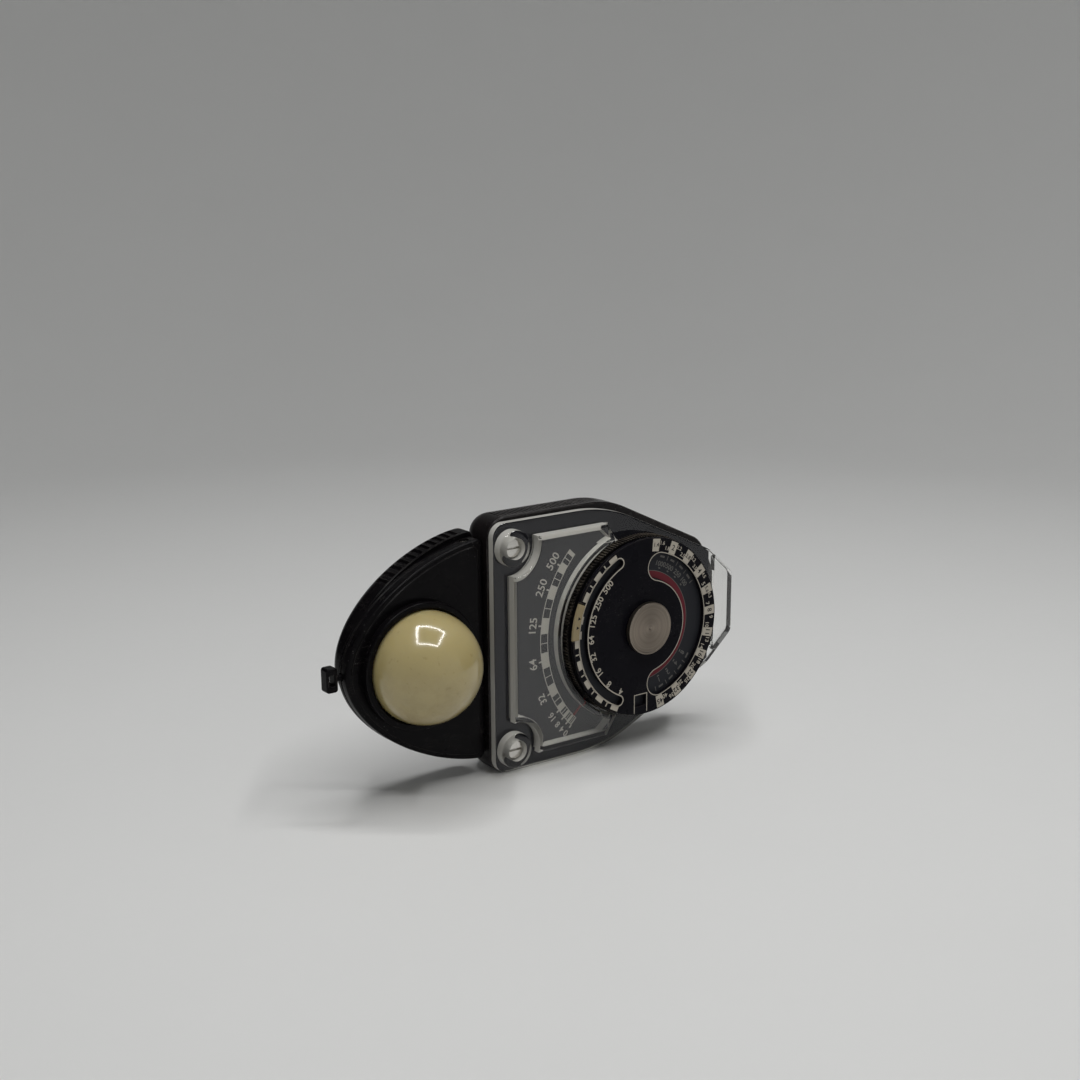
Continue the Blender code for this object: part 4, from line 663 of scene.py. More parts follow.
def turned_metal():
    """The dial cap: fine circular tool marks round the dial's axis, a painted sheen that makes its tone lighter
    and darker in a fan round the axis, and edges lighter with rubbed wear and painted highlight.
    """
    material, tree, shader = blank("turned_metal", metallic=1.0)
    place = object_place(tree)
    offset = node(tree, "ShaderNodeVectorMath", {0: place, 1: tuple(DIAL)}, operation="SUBTRACT")
    apart = node(tree, "ShaderNodeSeparateXYZ", {"Vector": offset.outputs["Vector"]}).outputs
    squares = [maths(tree, "MULTIPLY", apart[axis], apart[axis]) for axis in ("X", "Z")]
    radius = maths(tree, "SQRT", maths(tree, "ADD", *squares))
    marks = node(tree, "ShaderNodeTexNoise", {"W": radius, "Scale": 16000.0, "Detail": 3.0},
                 noise_dimensions="1D").outputs["Fac"]
    broad = node(tree, "ShaderNodeTexNoise", {"W": radius, "Scale": 1500.0, "Detail": 2.0},
                 noise_dimensions="1D").outputs["Fac"]
    angle = maths(tree, "ARCTAN2", apart["Z"], apart["X"])
    # painted sheen: the tone swings lighter and darker twice round the axis, as turned metal reflects light
    painted_sheen_fan = ranged(tree, maths(tree, "COSINE", maths(tree, "MULTIPLY", angle, 2.0)), -1.0, 1.0, 0.82, 1.08)
    grey = ranged(tree, broad, 0.3, 0.7, 0.88, 1.08)
    tone = node(tree, "ShaderNodeVectorMath", {0: CAP_METAL}, operation="SCALE")
    tree.links.new(maths(tree, "MULTIPLY", painted_sheen_fan, grey), tone.inputs["Scale"])
    wear_and_highlight = group(tree, EDGE_WEAR_AND_HIGHLIGHT, Width=0.00025)["Mask"]
    rubbed_and_highlit = blended(tree, wear_and_highlight, tone.outputs["Vector"], CAP_EDGE)
    tree.links.new(rubbed_and_highlit, shader.inputs["Base Color"])
    tree.links.new(ranged(tree, marks, 0.3, 0.7, 0.30, 0.48), shader.inputs["Roughness"])
    bumped(tree, shader, marks, 0.35, 0.00002)
    return material


# the lighter edge colours paint in the highlights on edges, ribs and knurl teeth, as well as wear
PLASTIC = moulded_plastic("black_plastic", BLACK, BLACK_WEAR_AND_HIGHLIGHT, 0.26, specular=0.07)
RIBBED_PLASTIC = moulded_plastic("ribbed_black_plastic", RIB_BLACK, RIB_WEAR_AND_HIGHLIGHT, 0.27, specular=0.16,
                                 wear_and_highlight_width=0.0002, dust=0.6)
KNURL_PLASTIC = moulded_plastic("knurled_black_plastic", BLACK, KNURL_WEAR_AND_HIGHLIGHT, 0.36, specular=0.12)
ACRYLIC = clear_plastic("clear_acrylic", CLEAR, 1.0, 0.0, 0.02)
# opaque pale walls: painted highlight
ACRYLIC_WALL_HIGHLIGHT = clear_plastic("satin_acrylic_highlight", SATIN_WALL_HIGHLIGHT, 0.0, 0.16, 0.26)
DOME_PLASTIC = opal_plastic()
DISC_FINISH = satin_black_disc()
PLATE_FINISH = painted("charcoal_enamel", CHARCOAL, 0.42, 0.2)
SPEED_FINISH = painted("speed_disc_grey", SPEED_GREY, 0.45, 0.2)
TAB_FINISH = painted("cream_plastic", CREAM, 0.4, 0.3, chip=0.3)
SCALE_INK = painted("scale_ink", PALE_INK, 0.55, 0.15, chip=0.12)
DISC_PRINT = painted("disc_ink", DISC_INK, 0.5, 0.2, chip=0.2)
FAINT_INK = painted("faint_ink", GREY_INK, 0.6, 0.3, chip=0.4)
RED_PRINT = painted("red_ink", RED_INK, 0.5, 0.2, chip=0.1)
# also used as black painted shade on the cover's back faces
BLACK_INK_AND_SHADE = painted("black_ink_and_shade", CHARCOAL, 0.5)
CAP_FINISH = turned_metal()
SCREW_FINISH = metal("plated_steel", PLATED, 0.2)
BRASS_FINISH = metal("brass", BRASS, 0.35)
FINISHES = {
    "black_plastic": PLASTIC,
    "clear_acrylic": ACRYLIC,
    "opal_plastic": DOME_PLASTIC,
    "cream_plastic": TAB_FINISH,
    "black_enamel": DISC_FINISH,
    "charcoal_enamel": PLATE_FINISH,
    "turned_metal": CAP_FINISH,
    "plated_steel": SCREW_FINISH,
    "brass": BRASS_FINISH,
    "magnet_steel": metal("magnet_steel", MAGNET, 0.5),
    "copper": metal("enamelled_copper", COPPER, 0.4),
    "cell_grey": metal("cell_grey", CELL_GREY, 0.35),
    "needle_red": painted("needle_red", NEEDLE_RED, 0.5),
    "brown_fibre": painted("brown_fibre", FIBRE, 0.7, 0.3),
}
SLOT_OF = {part["node"]: part["material_slot"] for part in frame["record"]["subparts"]}
BODY_OF = {
    name: body for body, names in frame["record"]["behaviour"]["bodies"].items() for name in names
}
for name, obj in frame["nodes"].items():
    obj.data.materials.clear()
    obj.data.materials.append(FINISHES[SLOT_OF[name]])


# Outlines, in X and Z

def arc(centre, radius, start, end):
    steps = max(1, math.ceil(abs(end - start) / ARC_STEP - WELD))
    angles = [start + (end - start) * i / steps for i in range(steps + 1)]
    return [(centre[0] + radius * math.cos(a), centre[1] + radius * math.sin(a)) for a in angles]


def circle(radius, steps=ROUND_STEPS):
    angles = [math.tau * i / steps for i in range(steps)]
    return [(radius * math.cos(a), radius * math.sin(a)) for a in angles]


def sides_at(corners, i):
    """Directions of the sides before and after a corner."""
    here = Vector(corners[i][:2])
    before = (here - Vector(corners[i - 1][:2])).normalized()
    after = (Vector(corners[(i + 1) % len(corners)][:2]) - here).normalized()
    return here, before, after


def inset_corners(corners, inset):
    moved = []
    for i, corner in enumerate(corners):
        here, before, after = sides_at(corners, i)
        inward = Vector((-before.y, before.x)) + Vector((-after.y, after.x))
        here += inward * (inset / (1 + before.dot(after)))
        moved.append((here.x, here.y, max(corner[2] - inset, GAP)))
    return moved


def rounded(corners, inset=0.0):
    """An anticlockwise outline through corners (x, z, radius), each rounded by its radius."""
    corners = inset_corners(corners, inset)
    points = []
    for i, corner in enumerate(corners):
        here, before, after = sides_at(corners, i)
        turn = before.angle_signed(after)
        start = here - before * (corner[2] * math.tan(abs(turn) / 2))
        centre = start + Vector((-before.y, before.x)) * corner[2]
        first = math.atan2(start.y - centre.y, start.x - centre.x)
        points += arc(centre, corner[2], first, first + abs(turn))
    return points


def mirrored(upper):
    return upper + [(x, -z, radius) for x, z, radius in reversed(upper)]


def case_outline(inset=0.0):
    return rounded(mirrored(CASE_CORNERS), inset)


def window_outline(left, half, corner_x, centre_x, radius, tip_angle, scallop):
    """The raised window: an arc round a point of the X axis, a slanted end, and left corners cut
    round by the screw bosses."""
    upper = arc((centre_x, 0), radius, math.pi, tip_angle)
    upper.append((corner_x, half))
    side_x = SCREW_X + math.sqrt(scallop ** 2 - (half - SCREW_Z) ** 2)
    side_z = SCREW_Z - math.sqrt(scallop ** 2 - (left - SCREW_X) ** 2)
    first = math.atan2(half - SCREW_Z, side_x - SCREW_X)
    last = math.atan2(side_z - SCREW_Z, left - SCREW_X)
    upper += arc((SCREW_X, SCREW_Z), scallop, first, last)
    return upper + [(x, -z) for x, z in reversed(upper[1:])]


def plateau_outline(inset=0.0):
    radius = DIAL_CLEAR_R + inset
    return window_outline(PLATEAU_LEFT + inset, PLATEAU_HALF - inset, PLATEAU_TOP_RIGHT - inset, 0,
                          radius, PLATEAU_TIP_ANGLE + inset / radius, SCALLOP_R + inset)


def plate_outline(grow=0.0):
    inset = WINDOW_WALL - PLATE_LAP - grow
    right = PLATE_RIGHT + grow
    radius = NEEDLE_CLEAR_R - grow
    tip_angle = math.acos((right - NEEDLE_PIVOT.x) / radius)
    return window_outline(PLATEAU_LEFT + inset, PLATEAU_HALF - inset, right, NEEDLE_PIVOT.x, radius,
                          tip_angle, SCALLOP_R + inset)


def nose_height(share, half):
    """Half the head's height at a share of its length from the joint."""
    return half * max(1 - share ** NOSE_POWER, 0) ** (1 / SIDE_POWER)


def head_outline(length, half, rise, inset=0.0):
    """A straight side at the joint with rounded corners, then a nose whose sides follow a power law."""
    right = FRONT_HIGH.x - inset
    reach = length - 2 * inset
    half = half - inset
    corner = HEAD_CORNER
    upper = []
    for i in range(HEAD_CORNER_STEPS):
        angle = QUARTER * (1 - i / HEAD_CORNER_STEPS)
        x = right - corner * (1 - math.sin(angle))
        drop = corner * (1 - math.cos(angle))
        upper.append((x, nose_height((right - x) / reach, half) - drop))
    first = math.asin(corner / reach)
    for i in range(HEAD_STEPS + 1):
        share = math.sin(first + (QUARTER - first) * i / HEAD_STEPS)
        upper.append((right - reach * share, nose_height(share, half)))
    lower = [(x, -z) for x, z in reversed(upper[:-1])]
    return [(x, z + rise) for x, z in upper + lower]


def front_outline(inset=0.0):
    return head_outline(HEAD_LENGTH, HEAD_HALF, 0, inset)


def rear_outline(inset=0.0):
    return head_outline(REAR_LENGTH, REAR_HALF, REAR_RISE, inset)


def arc_slot(inner, outer, middle, half):
    """A slot along an arc round the dial, with round ends."""
    first, last = middle - half, middle + half
    centre_r = (inner + outer) / 2
    end_r = (outer - inner) / 2
    ends = [(centre_r * math.cos(a), centre_r * math.sin(a)) for a in (first, last)]
    points = arc((0, 0), outer, first, last)
    points += arc(ends[1], end_r, last, last + math.pi)[1:-1]
    points += arc((0, 0), inner, last, first)
    points += arc(ends[0], end_r, first + math.pi, first + math.tau)[1:-1]
    return points


def arc_block(inner, outer, first, last, centre=(0, 0)):
    return arc(centre, outer, first, last) + arc(centre, inner, last, first)


# Shapes

def as_object(name, data):
    obj = bpy.data.objects.new(name, data)
    bpy.context.scene.collection.objects.link(obj)
    return obj


def mesh_from(name, shape):
    """A mesh from a finished bmesh, which is freed."""
    mesh = bpy.data.meshes.new(name)
    shape.to_mesh(mesh)
    shape.free()
    return mesh


def baked(obj):
    """The object's shape as a mesh, modifiers included; the object goes."""
    bpy.context.view_layer.update()
    graph = bpy.context.evaluated_depsgraph_get()
    mesh = bpy.data.meshes.new_from_object(obj.evaluated_get(graph))
    mesh.transform(obj.matrix_world)
    bpy.data.objects.remove(obj, do_unlink=True)
    return mesh


def welded(mesh):
    shape = bmesh.new()
    shape.from_mesh(mesh)
    bmesh.ops.remove_doubles(shape, verts=shape.verts, dist=WELD)
    bmesh.ops.recalc_face_normals(shape, faces=shape.faces)
    shape.to_mesh(mesh)
    shape.free()
    return mesh


def plate(name, outline, front, back, holes=(), edge=0.0):
    """A flat piece between two depths, with rounded edges."""
    curve = bpy.data.curves.new(name, "CURVE")
    curve.dimensions = "2D"
    curve.fill_mode = "BOTH"
    curve.extrude = (back - front) / 2 - edge
    curve.bevel_depth = edge
    curve.bevel_resolution = EASE_STEPS - 1
    curve.offset = -edge
    for points in (outline, *holes):
        spline = curve.splines.new("POLY")
        spline.points.add(len(points) - 1)
        for point, (x, z) in zip(spline.points, points):
            point.co = (x, z, 0, 1)
        spline.use_cyclic_u = True
    flat = as_object(name, curve)
    flat.matrix_world = Matrix.Translation((0, (front + back) / 2, 0)) @ Matrix.Rotation(QUARTER, 4, "X")
    return as_object(name, welded(baked(flat)))


def eased(points, radius, closed=True):
    """A profile with its corners rounded; the ends of an open one stay."""
    smooth = []
    count = len(points)
    for i, point in enumerate(points):
        here = Vector(point)
        if here.x == 0 or (not closed and i in (0, count - 1)):
            smooth.append(here)
            continue
        before = Vector(points[i - 1]) - here
        after = Vector(points[(i + 1) % count]) - here
        reach = radius / math.tan(before.angle(after) / 2)
        start = here + before.normalized() * min(reach, before.length * EASE_SHARE)
        end = here + after.normalized() * min(reach, after.length * EASE_SHARE)
        for step in range(EASE_STEPS + 1):
            share = step / EASE_STEPS
            corner = here * (2 * share * (1 - share))
            smooth.append(start * (1 - share) ** 2 + corner + end * share ** 2)
    return smooth


AXES = {
    "Y": Matrix.Rotation(-QUARTER, 4, "X"),
    "X": Matrix.Rotation(QUARTER, 4, "Y"),
    "Z": Matrix.Identity(4),
    "-Z": Matrix.Rotation(math.pi, 4, "X"),
    "-Y": Matrix.Rotation(QUARTER, 4, "X"),
}


def turned(name, profile, place=(0, 0, 0), axis="Y", steps=ROUND_STEPS):
    """A turned piece from (radius, height) points; height runs along the axis from place."""
    shape = bmesh.new()
    verts = [shape.verts.new((radius, 0, height)) for radius, height in profile]
    edges = [shape.edges.new(pair) for pair in zip(verts, verts[1:])]
    if profile[0][0] > 0:
        edges.append(shape.edges.new((verts[-1], verts[0])))
    bmesh.ops.spin(shape, geom=verts + edges, axis=(0, 0, 1), cent=(0, 0, 0), steps=steps,
                   angle=math.tau, use_merge=True)
    mesh = mesh_from(name, shape)
    mesh.transform(Matrix.Translation(place) @ AXES[axis])
    return as_object(name, welded(mesh))


def rod(radius, start, end):
    return [(0, start), (radius, start), (radius, end), (0, end)]


def peg(radius, start, end, place=(0, 0, 0), axis="Y"):
    """A plain cylinder along an axis, to add as a post or to cut a bore or a well with."""
    return turned("peg", rod(radius, start, end), place, axis, SMALL_STEPS)


def block(name, low, high):
    shape = bmesh.new()
    size = Vector(high) - Vector(low)
    middle = Matrix.Translation((Vector(low) + Vector(high)) / 2)
    bmesh.ops.create_cube(shape, size=1.0, matrix=middle @ Matrix.Diagonal((*size, 1)))
    return as_object(name, mesh_from(name, shape))


def shell(name, outline_at, inner, outer):
    """A box open at one end. Both lists hold (depth, inset) from the open rim to the closed end."""
    shape = bmesh.new()
    rings = []
    for depth, inset in [*reversed(inner), *outer]:
        rings.append([shape.verts.new((x, depth, z)) for x, z in outline_at(inset)])
    for here, there in zip(rings, rings[1:]):
        count = len(here)
        for i in range(count):
            j = (i + 1) % count
            shape.faces.new((here[i], here[j], there[j], there[i]))
    shape.faces.new(rings[0])
    shape.faces.new(rings[-1])
    return as_object(name, welded(mesh_from(name, shape)))


def turn_over(depth, end, radius, steps, inset=0.0):
    """Levels that carry a side from depth round to its closed end at end, along a quarter circle."""
    way = 1 if end > depth else -1
    levels = []
    for step in range(steps + 1):
        angle = QUARTER * step / steps
        levels.append((end - way * radius * (1 - math.sin(angle)),
                       inset + radius * (1 - math.cos(angle))))
    return levels


def combined(pieces):
    """One object from several."""
    shape = bmesh.new()
    for piece in pieces:
        mesh = baked(piece)
        shape.from_mesh(mesh)
        bpy.data.meshes.remove(mesh)
    return as_object("group", mesh_from("group", shape))


def boolean(obj, tool, operation):
    step = obj.modifiers.new(operation, "BOOLEAN")
    step.operation = operation
    step.object = tool
    step.solver = "MANIFOLD"
    mesh = baked(obj)
    bpy.data.objects.remove(tool, do_unlink=True)
    return as_object("shape", mesh)


def cut(obj, *tools):
    for tool in tools:
        obj = boolean(obj, tool, "DIFFERENCE")
    return obj


def fuse(obj, *tools):
    for tool in tools:
        obj = boolean(obj, tool, "UNION")
    return obj


def split_at(obj, x):
    """Adds a line of edges all round a shape where it crosses X."""
    mesh = baked(obj)
    shape = bmesh.new()
    shape.from_mesh(mesh)
    bmesh.ops.bisect_plane(shape, geom=[*shape.verts, *shape.edges, *shape.faces], dist=WELD,
                           plane_co=(x, 0, 0), plane_no=(1, 0, 0))
    shape.to_mesh(mesh)
    shape.free()
    return as_object("shape", mesh)


def settle(obj, name, finish, body, *nodes):
    """Turns a shape into a piece of the model, in metres, that stands for the named CAD nodes."""
    mesh = baked(obj)
    mesh.transform(TO_WORLD)
    mesh.name = name
    mesh.materials.clear()
    mesh.materials.append(finish)
    mesh.shade_smooth()
    mesh.set_sharp_from_angle(angle=SHARP_ANGLE)
    made = as_object(name, mesh)
    normals = made.modifiers.new("weighted_normals", "WEIGHTED_NORMAL")
    normals.keep_sharp = True
    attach(made, body)
    if nodes:
        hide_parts(*nodes)
    return made


# Print

def digits_round(text, height, radius, angle, level, centre=(0, 0)):
    """Digits centred at a radius and an angle, tops outward, standing out of a face at level."""
    curve = bpy.data.curves.new(text, "FONT")
    curve.body = text
    curve.size = height / GLYPH_SHARE
    curve.offset = BOLD_SHARE * curve.size
    curve.align_x = "CENTER"
    curve.align_y = "CENTER"
    curve.resolution_u = GLYPH_STEPS
    curve.extrude = (INK + INK_ROOT) / 2
    right = Vector((math.sin(angle), 0, -math.cos(angle)))
    up = Vector((math.cos(angle), 0, math.sin(angle)))
    turn = Matrix((right, up, Vector((0, -1, 0)))).transposed().to_4x4()
    place = Vector((centre[0] + radius * math.cos(angle), level + (INK_ROOT - INK) / 2,
                    centre[1] + radius * math.sin(angle)))
    glyphs = as_object(text, curve)
    glyphs.matrix_world = Matrix.Translation(place) @ turn
    return as_object(text, baked(glyphs))


def inked(outline, level, holes=()):
    return plate("ink", outline, level - INK, level + INK_ROOT, holes)


def inked_arc(radius, width, first, last, level, centre=(0, 0)):
    return inked(arc_block(radius - width / 2, radius + width / 2, first, last, centre), level)


def inked_spoke(inner, outer, width, angle, level, centre=(0, 0)):
    """A straight radial mark."""
    out = Vector((math.cos(angle), math.sin(angle)))
    side = Vector((-out.y, out.x)) * (width / 2)
    middle = Vector(centre)
    corners = (middle + out * inner - side, middle + out * outer - side,
               middle + out * outer + side, middle + out * inner + side)
    return inked([tuple(corner) for corner in corners], level)


# Case

def rib_tools():
    """Fine grooves across both long sides of the case."""
    tools = []
    for i in range(RIB_GROOVES):
        x = RIB_START + i * RIB_PITCH
        for side in (1, -1):
            heights = sorted((side * (CASE_HIGH.z - RIB_DEPTH), side * (CASE_HIGH.z + OVERRUN)))
            tools.append(block("rib", (x, RIB_FRONT, heights[0]),
                               (x + RIB_GROOVE, RIB_FRONT + RIB_LENGTH, heights[1])))
    return combined(tools)


def make_case():
    front, back = CASE_LOW.y, CASE_HIGH.y
    floor = back - CASE_WALL
    root = floor + GAP
    inner = [(front, CASE_WALL),
             *turn_over(front, floor, CASE_ROUND - CASE_WALL, CASE_ROUND_STEPS, CASE_WALL)]
    outer = [(front, CASE_EDGE), (front + CASE_EDGE, 0),
             *turn_over(front, back, CASE_ROUND, CASE_ROUND_STEPS)]
    case = shell("case", case_outline, inner, outer)
    corners = [(SCREW_X, 0, side * SCREW_Z) for side in (1, -1)]
    rear_screw = (REAR_SCREW_X, 0, 0)
    swivel = (0, SWIVEL.y, 0)
    case = fuse(
        case,
        *[peg(PILLAR_R, front, root, corner) for corner in corners],
        peg(HEAD_POST_R, front, root, rear_screw),
        peg(BOSS_R, CASE_LOW.x + OVERRUN, BOSS_END, swivel, "X"),
    )
    well = REAR_SCREW_HIGH.y - SCREW_HEAD - GAP
    case = cut(
        case,
        peg(SPINDLE_BORE_R, CASE_LOW.x - OVERRUN, BOSS_END + OVERRUN, swivel, "X"),
        peg(SCREW_SHANK_R + GAP, front - OVERRUN, back + OVERRUN, rear_screw),
        peg(SCREW_HEAD_R + GAP, well, back + OVERRUN, rear_screw),
        rib_tools(),
        *[peg(SCREW_SHANK_R + GAP, front - OVERRUN, SCREW_HIGH.y + OVERRUN, corner)
          for corner in corners],
    )
    settle(case, "ribbed_case", RIBBED_PLASTIC, "body", "body_case")


# Clear cover

def clear_end_lip():
    """Makes the end that stands past the case thicker, to the back."""
    lip = plate("lip", rounded(mirrored(COVER_CORNERS)), -FLANGE / 2, LIP_DEPTH, edge=FLANGE_EDGE)
    past_case = block("past_case", (CASE_HIGH.x + GAP, -FLANGE, COVER_LOW.z),
                      (COVER_HIGH.x + OVERRUN, CASE_HIGH.y, COVER_HIGH.z))
    return boolean(lip, past_case, "INTERSECT")


def finish_cover(cover, seat_right):
    """Pale satin side walls up to the clear end, whose pale colour is a painted highlight, and black painted shade
    on the back faces where the cover lies on the case, which hides the inside of the case.
    """
    cover.data.materials.append(ACRYLIC_WALL_HIGHLIGHT)
    cover.data.materials.append(BLACK_INK_AND_SHADE)
    highlight_wall_slot, shade_seat_slot = 1, 2
    for face in cover.data.polygons:
        place = (face.center - DIAL) / MM
        # black painted shade on the back faces over the case: it stands in for the dark there and hides the inside
        if place.x < seat_right and place.y > COVER_HIGH.y - GAP and face.normal.y > SEATED:
            face.material_index = shade_seat_slot
        elif abs(face.normal.y) < UPRIGHT and place.x < CLEAR_END:
            face.material_index = highlight_wall_slot


def make_cover():
    middle = -FLANGE / 2
    cover = plate("cover", rounded(mirrored(COVER_CORNERS)), -FLANGE, COVER_HIGH.y,
                  edge=FLANGE_EDGE)
    window = plate("window", plateau_outline(), PLATEAU_FACE, middle, edge=PLATEAU_EDGE)
    cover = fuse(cover, window, clear_end_lip())
    boss = eased(rod(CLEAR_BOSS_R, PLATEAU_FACE, middle), CLEAR_BOSS_EDGE, closed=False)
    seat = SCREW_LOW.y + SCREW_HEAD + GAP
    for side in (1, -1):
        place = (SCREW_X, 0, side * SCREW_Z)
        cover = fuse(cover, turned("boss", boss, place, steps=SMALL_STEPS * 2))
        cover = cut(
            cover,
            peg(SCREW_HEAD_R + GAP, PLATEAU_FACE - OVERRUN, seat, place),
            peg(SCREW_SHANK_R + GAP, seat - OVERRUN, OVERRUN, place),
        )
    hollow = plate("hollow", plateau_outline(WINDOW_WALL), PLATEAU_FACE + WINDOW_WALL, OVERRUN,
                   edge=GAP / 2)
    recess = plate("recess", plate_outline(GAP), -PLATE_THICK - GAP, OVERRUN)
    pocket = block("pocket", (NEEDLE_PIVOT.x - NEEDLE_REACH, -NEEDLE_POCKET_DEPTH, -NEEDLE_SWEEP),
                   (NEEDLE_POCKET_RIGHT, OVERRUN, NEEDLE_SWEEP))
    cover = cut(
        cover, hollow, recess, pocket,
        peg(BORE_R, -FLANGE - OVERRUN, OVERRUN),
        peg(POST_HIGH.x + GAP, -PLATE_THICK - GAP, OVERRUN),
        peg(SCREW_SHANK_R + GAP, REAR_SCREW_LOW.y - GAP, OVERRUN, (REAR_SCREW_X, 0, 0)),
    )
    seat_right = CASE_HIGH.x - CASE_WALL
    cover = settle(split_at(cover, seat_right), "clear_window", ACRYLIC, "body", "clear_cover")
    finish_cover(cover, seat_right)


# Scale plate and its print

def scale_print(level):
    """Pale cells at the values, a line half way between them, and plain numbers."""
    stops = [math.radians(SCALE_FIRST)] + [math.radians(mark[1]) for mark in SCALE_MARKS]
    inner, outer, tip = SCALE_INNER_R, SCALE_OUTER_R, SCALE_OUTER_R + SCALE_TICK
    pieces = [inked_arc(radius, LINE, stops[0], stops[-1], level, SCALE_CENTRE)
              for radius in (outer, inner)]
    for i, here in enumerate(stops):
        before = here - stops[i - 1] if i else 0
        after = stops[i + 1] - here if i + 1 < len(stops) else 0
        first, last = here - before * CELL_SHARE, here + after * CELL_SHARE
        pieces.append(inked(arc_block(inner, outer, first, last, SCALE_CENTRE), level))
        if after:
            between = here + after / 2
            pieces.append(inked_spoke(inner, outer, LINE, between, level, SCALE_CENTRE))
    for text, angle, height in SCALE_MARKS:
        turn = math.radians(angle)
        pieces.append(inked_spoke(outer, tip, LINE * 2, turn, level, SCALE_CENTRE))
        pieces.append(digits_round(text, height, SCALE_DIGITS_R, turn, level, SCALE_CENTRE))
    return combined(pieces)


def make_scale():
    sheet = plate("scale", plate_outline(), PLATE_LOW.y, PLATE_HIGH.y, edge=SHEET_EDGE)
    settle(sheet, "printed_scale", PLATE_FINISH, "body", "scale_plate")
    settle(scale_print(PLATE_LOW.y), "scale_print", SCALE_INK, "body")


# Calculator discs

def film_window():
    top, bottom = FILM_WINDOW_TOP, FILM_WINDOW_TOP - FILM_WINDOW_HEIGHT
    return [(FILM_WINDOW_RIGHT, top), (FILM_WINDOW_LEFT, top), (FILM_WINDOW_LEFT, bottom),
            (FILM_WINDOW_RIGHT, bottom)]


def rim_print(inner, outer, middle, half, width, level):
    """A printed line all round a slot, a little way off its edge."""
    clear = LINE / 2
    line = clear + width
    hole = arc_slot(inner - clear, outer + clear, middle, half)
    rim = arc_slot(inner - line, outer + line, middle, half)
    return inked(rim, level, [hole])


def slot_print(level):
    """Line, cells and numbers round the narrow slot on the left."""
    inner, outer = SLOT_BAND_INNER_R, SLOT_BAND_OUTER_R
    reach = SLOT_STEP * SLOT_CELL_SHARE
    bar = SLOT_STEP * SLOT_BAR_SHARE
    pieces = [rim_print(SLOT_INNER_R, SLOT_OUTER_R, math.pi, SLOT_HALF_ANGLE, SLOT_LINE, level)]
    for i in range(len(SLOT_DIGITS) + 1):
        middle = SLOT_FIRST + (i - 1) * SLOT_STEP
        pieces.append(inked(arc_block(inner, outer, middle - reach, middle + reach), level))
        if i < len(SLOT_DIGITS):
            between = middle + SLOT_STEP / 2
            pieces.append(inked_spoke(inner, outer, SLOT_TICK, between, level))
            pieces.append(inked_arc(SLOT_BAR_R, SLOT_BAR, between - bar, between + bar, level))
    for i, text in enumerate(SLOT_DIGITS):
        angle = SLOT_FIRST + i * SLOT_STEP
        pieces.append(digits_round(text, SLOT_DIGIT, SLOT_DIGITS_R, angle, level))
    return pieces


def kidney_print(level):
    return [rim_print(KIDNEY_INNER_R, KIDNEY_OUTER_R, 0, KIDNEY_HALF_ANGLE, LINE, level)]


def fitted(text, normal, small):
    """Height of a number's digits, less where it has three signs."""
    return normal if len(text) < 3 else small


def stop_print(level):
    """The ring of lens openings: whole stops dark on pale cells, thirds pale on the black disc."""
    pale, dark = [], []
    middle_r = (STOP_INNER_R + STOP_OUTER_R) / 2
    reach = STOP_STEP * STOP_CELL_SHARE
    for i, text in enumerate(STOP_MARKS):
        middle = STOP_FIRST - i * STOP_STEP
        cell = arc_block(STOP_INNER_R, STOP_OUTER_R, middle - reach, middle + reach)
        pale.append(inked(cell, level))
        height = fitted(text, STOP_DIGIT, STOP_DIGIT_LONG)
        dark.append(digits_round(text, height, middle_r, middle, level - INK))
    for i, pair in enumerate(STOP_THIRDS):
        for third, text in enumerate(pair, 1):
            angle = STOP_FIRST - (i + third / 3) * STOP_STEP
            radius = middle_r + (THIRD_OFFSET if third == 1 else -THIRD_OFFSET)
            height = fitted(text, THIRD_DIGIT, THIRD_DIGIT_LONG)
            pale.append(digits_round(text, height, radius, angle, level))
    return pale, dark


def window_print(level):
    """Three sides of a frame round the film speed window, open at the disc's edge."""
    left = FILM_WINDOW_LEFT - LINE
    right = FILM_WINDOW_RIGHT + LINE
    top = FILM_WINDOW_TOP + LINE
    bottom = -math.sqrt((DIAL_R - DISC_EDGE) ** 2 - left ** 2) + LINE
    outline = [(left - LINE, bottom), (left, bottom), (left, top), (right, top), (right, bottom),
               (right + LINE, bottom), (right + LINE, top + LINE), (left - LINE, top + LINE)]
    return [inked(outline, level)]


def knurled_outline():
    points = []
    for i in range(KNURL_TEETH):
        for share, depth in KNURL_TOOTH:
            angle = math.tau * (i + share) / KNURL_TEETH
            radius = KNURL_R - depth * KNURL_DEPTH
            points.append((radius * math.cos(angle), radius * math.sin(angle)))
    return points


def make_base_disc():
    bore = circle(BORE_R, SMALL_STEPS)
    disc = plate("base", knurled_outline(), BASE_LOW.y, BASE_HIGH.y, [bore], edge=DISC_EDGE)
    disc = cut(disc, peg(WASHER_POCKET_R, BASE_HIGH.y - WASHER_POCKET, BASE_HIGH.y + OVERRUN))
    settle(disc, "knurled_disc", KNURL_PLASTIC, "film_dial", "base_disc")


def speed_print(level):
    """A thin line along the red band, and the exposure times in both ends of the opening."""
    pieces = [inked_arc(RED_BAND_R + RED_BAND / 2, FINE_LINE, -RED_HALF_ANGLE, RED_HALF_ANGLE,
                        level - INK)]
    dash = SPEED_STEP / SPEED_DASH_SHARE
    for speeds, way in ((SPEEDS_HIGH, 1), (SPEEDS_LOW, -1)):
        for i, text in enumerate(speeds):
            angle = way * (SPEED_END - i * SPEED_STEP)
            pieces += [
                digits_round(text, SPEED_DIGIT, SPEED_DIGITS_R, angle, level),
                inked_spoke(*SPEED_TICK, LINE * 3, angle, level),
                inked_spoke(*SPEED_DIVIDER, LINE, angle - SPEED_STEP / 2, level),
                inked_arc(SPEED_DASH_R, SPEED_DASH, angle - dash, angle + dash, level),
            ]
    return combined(pieces)


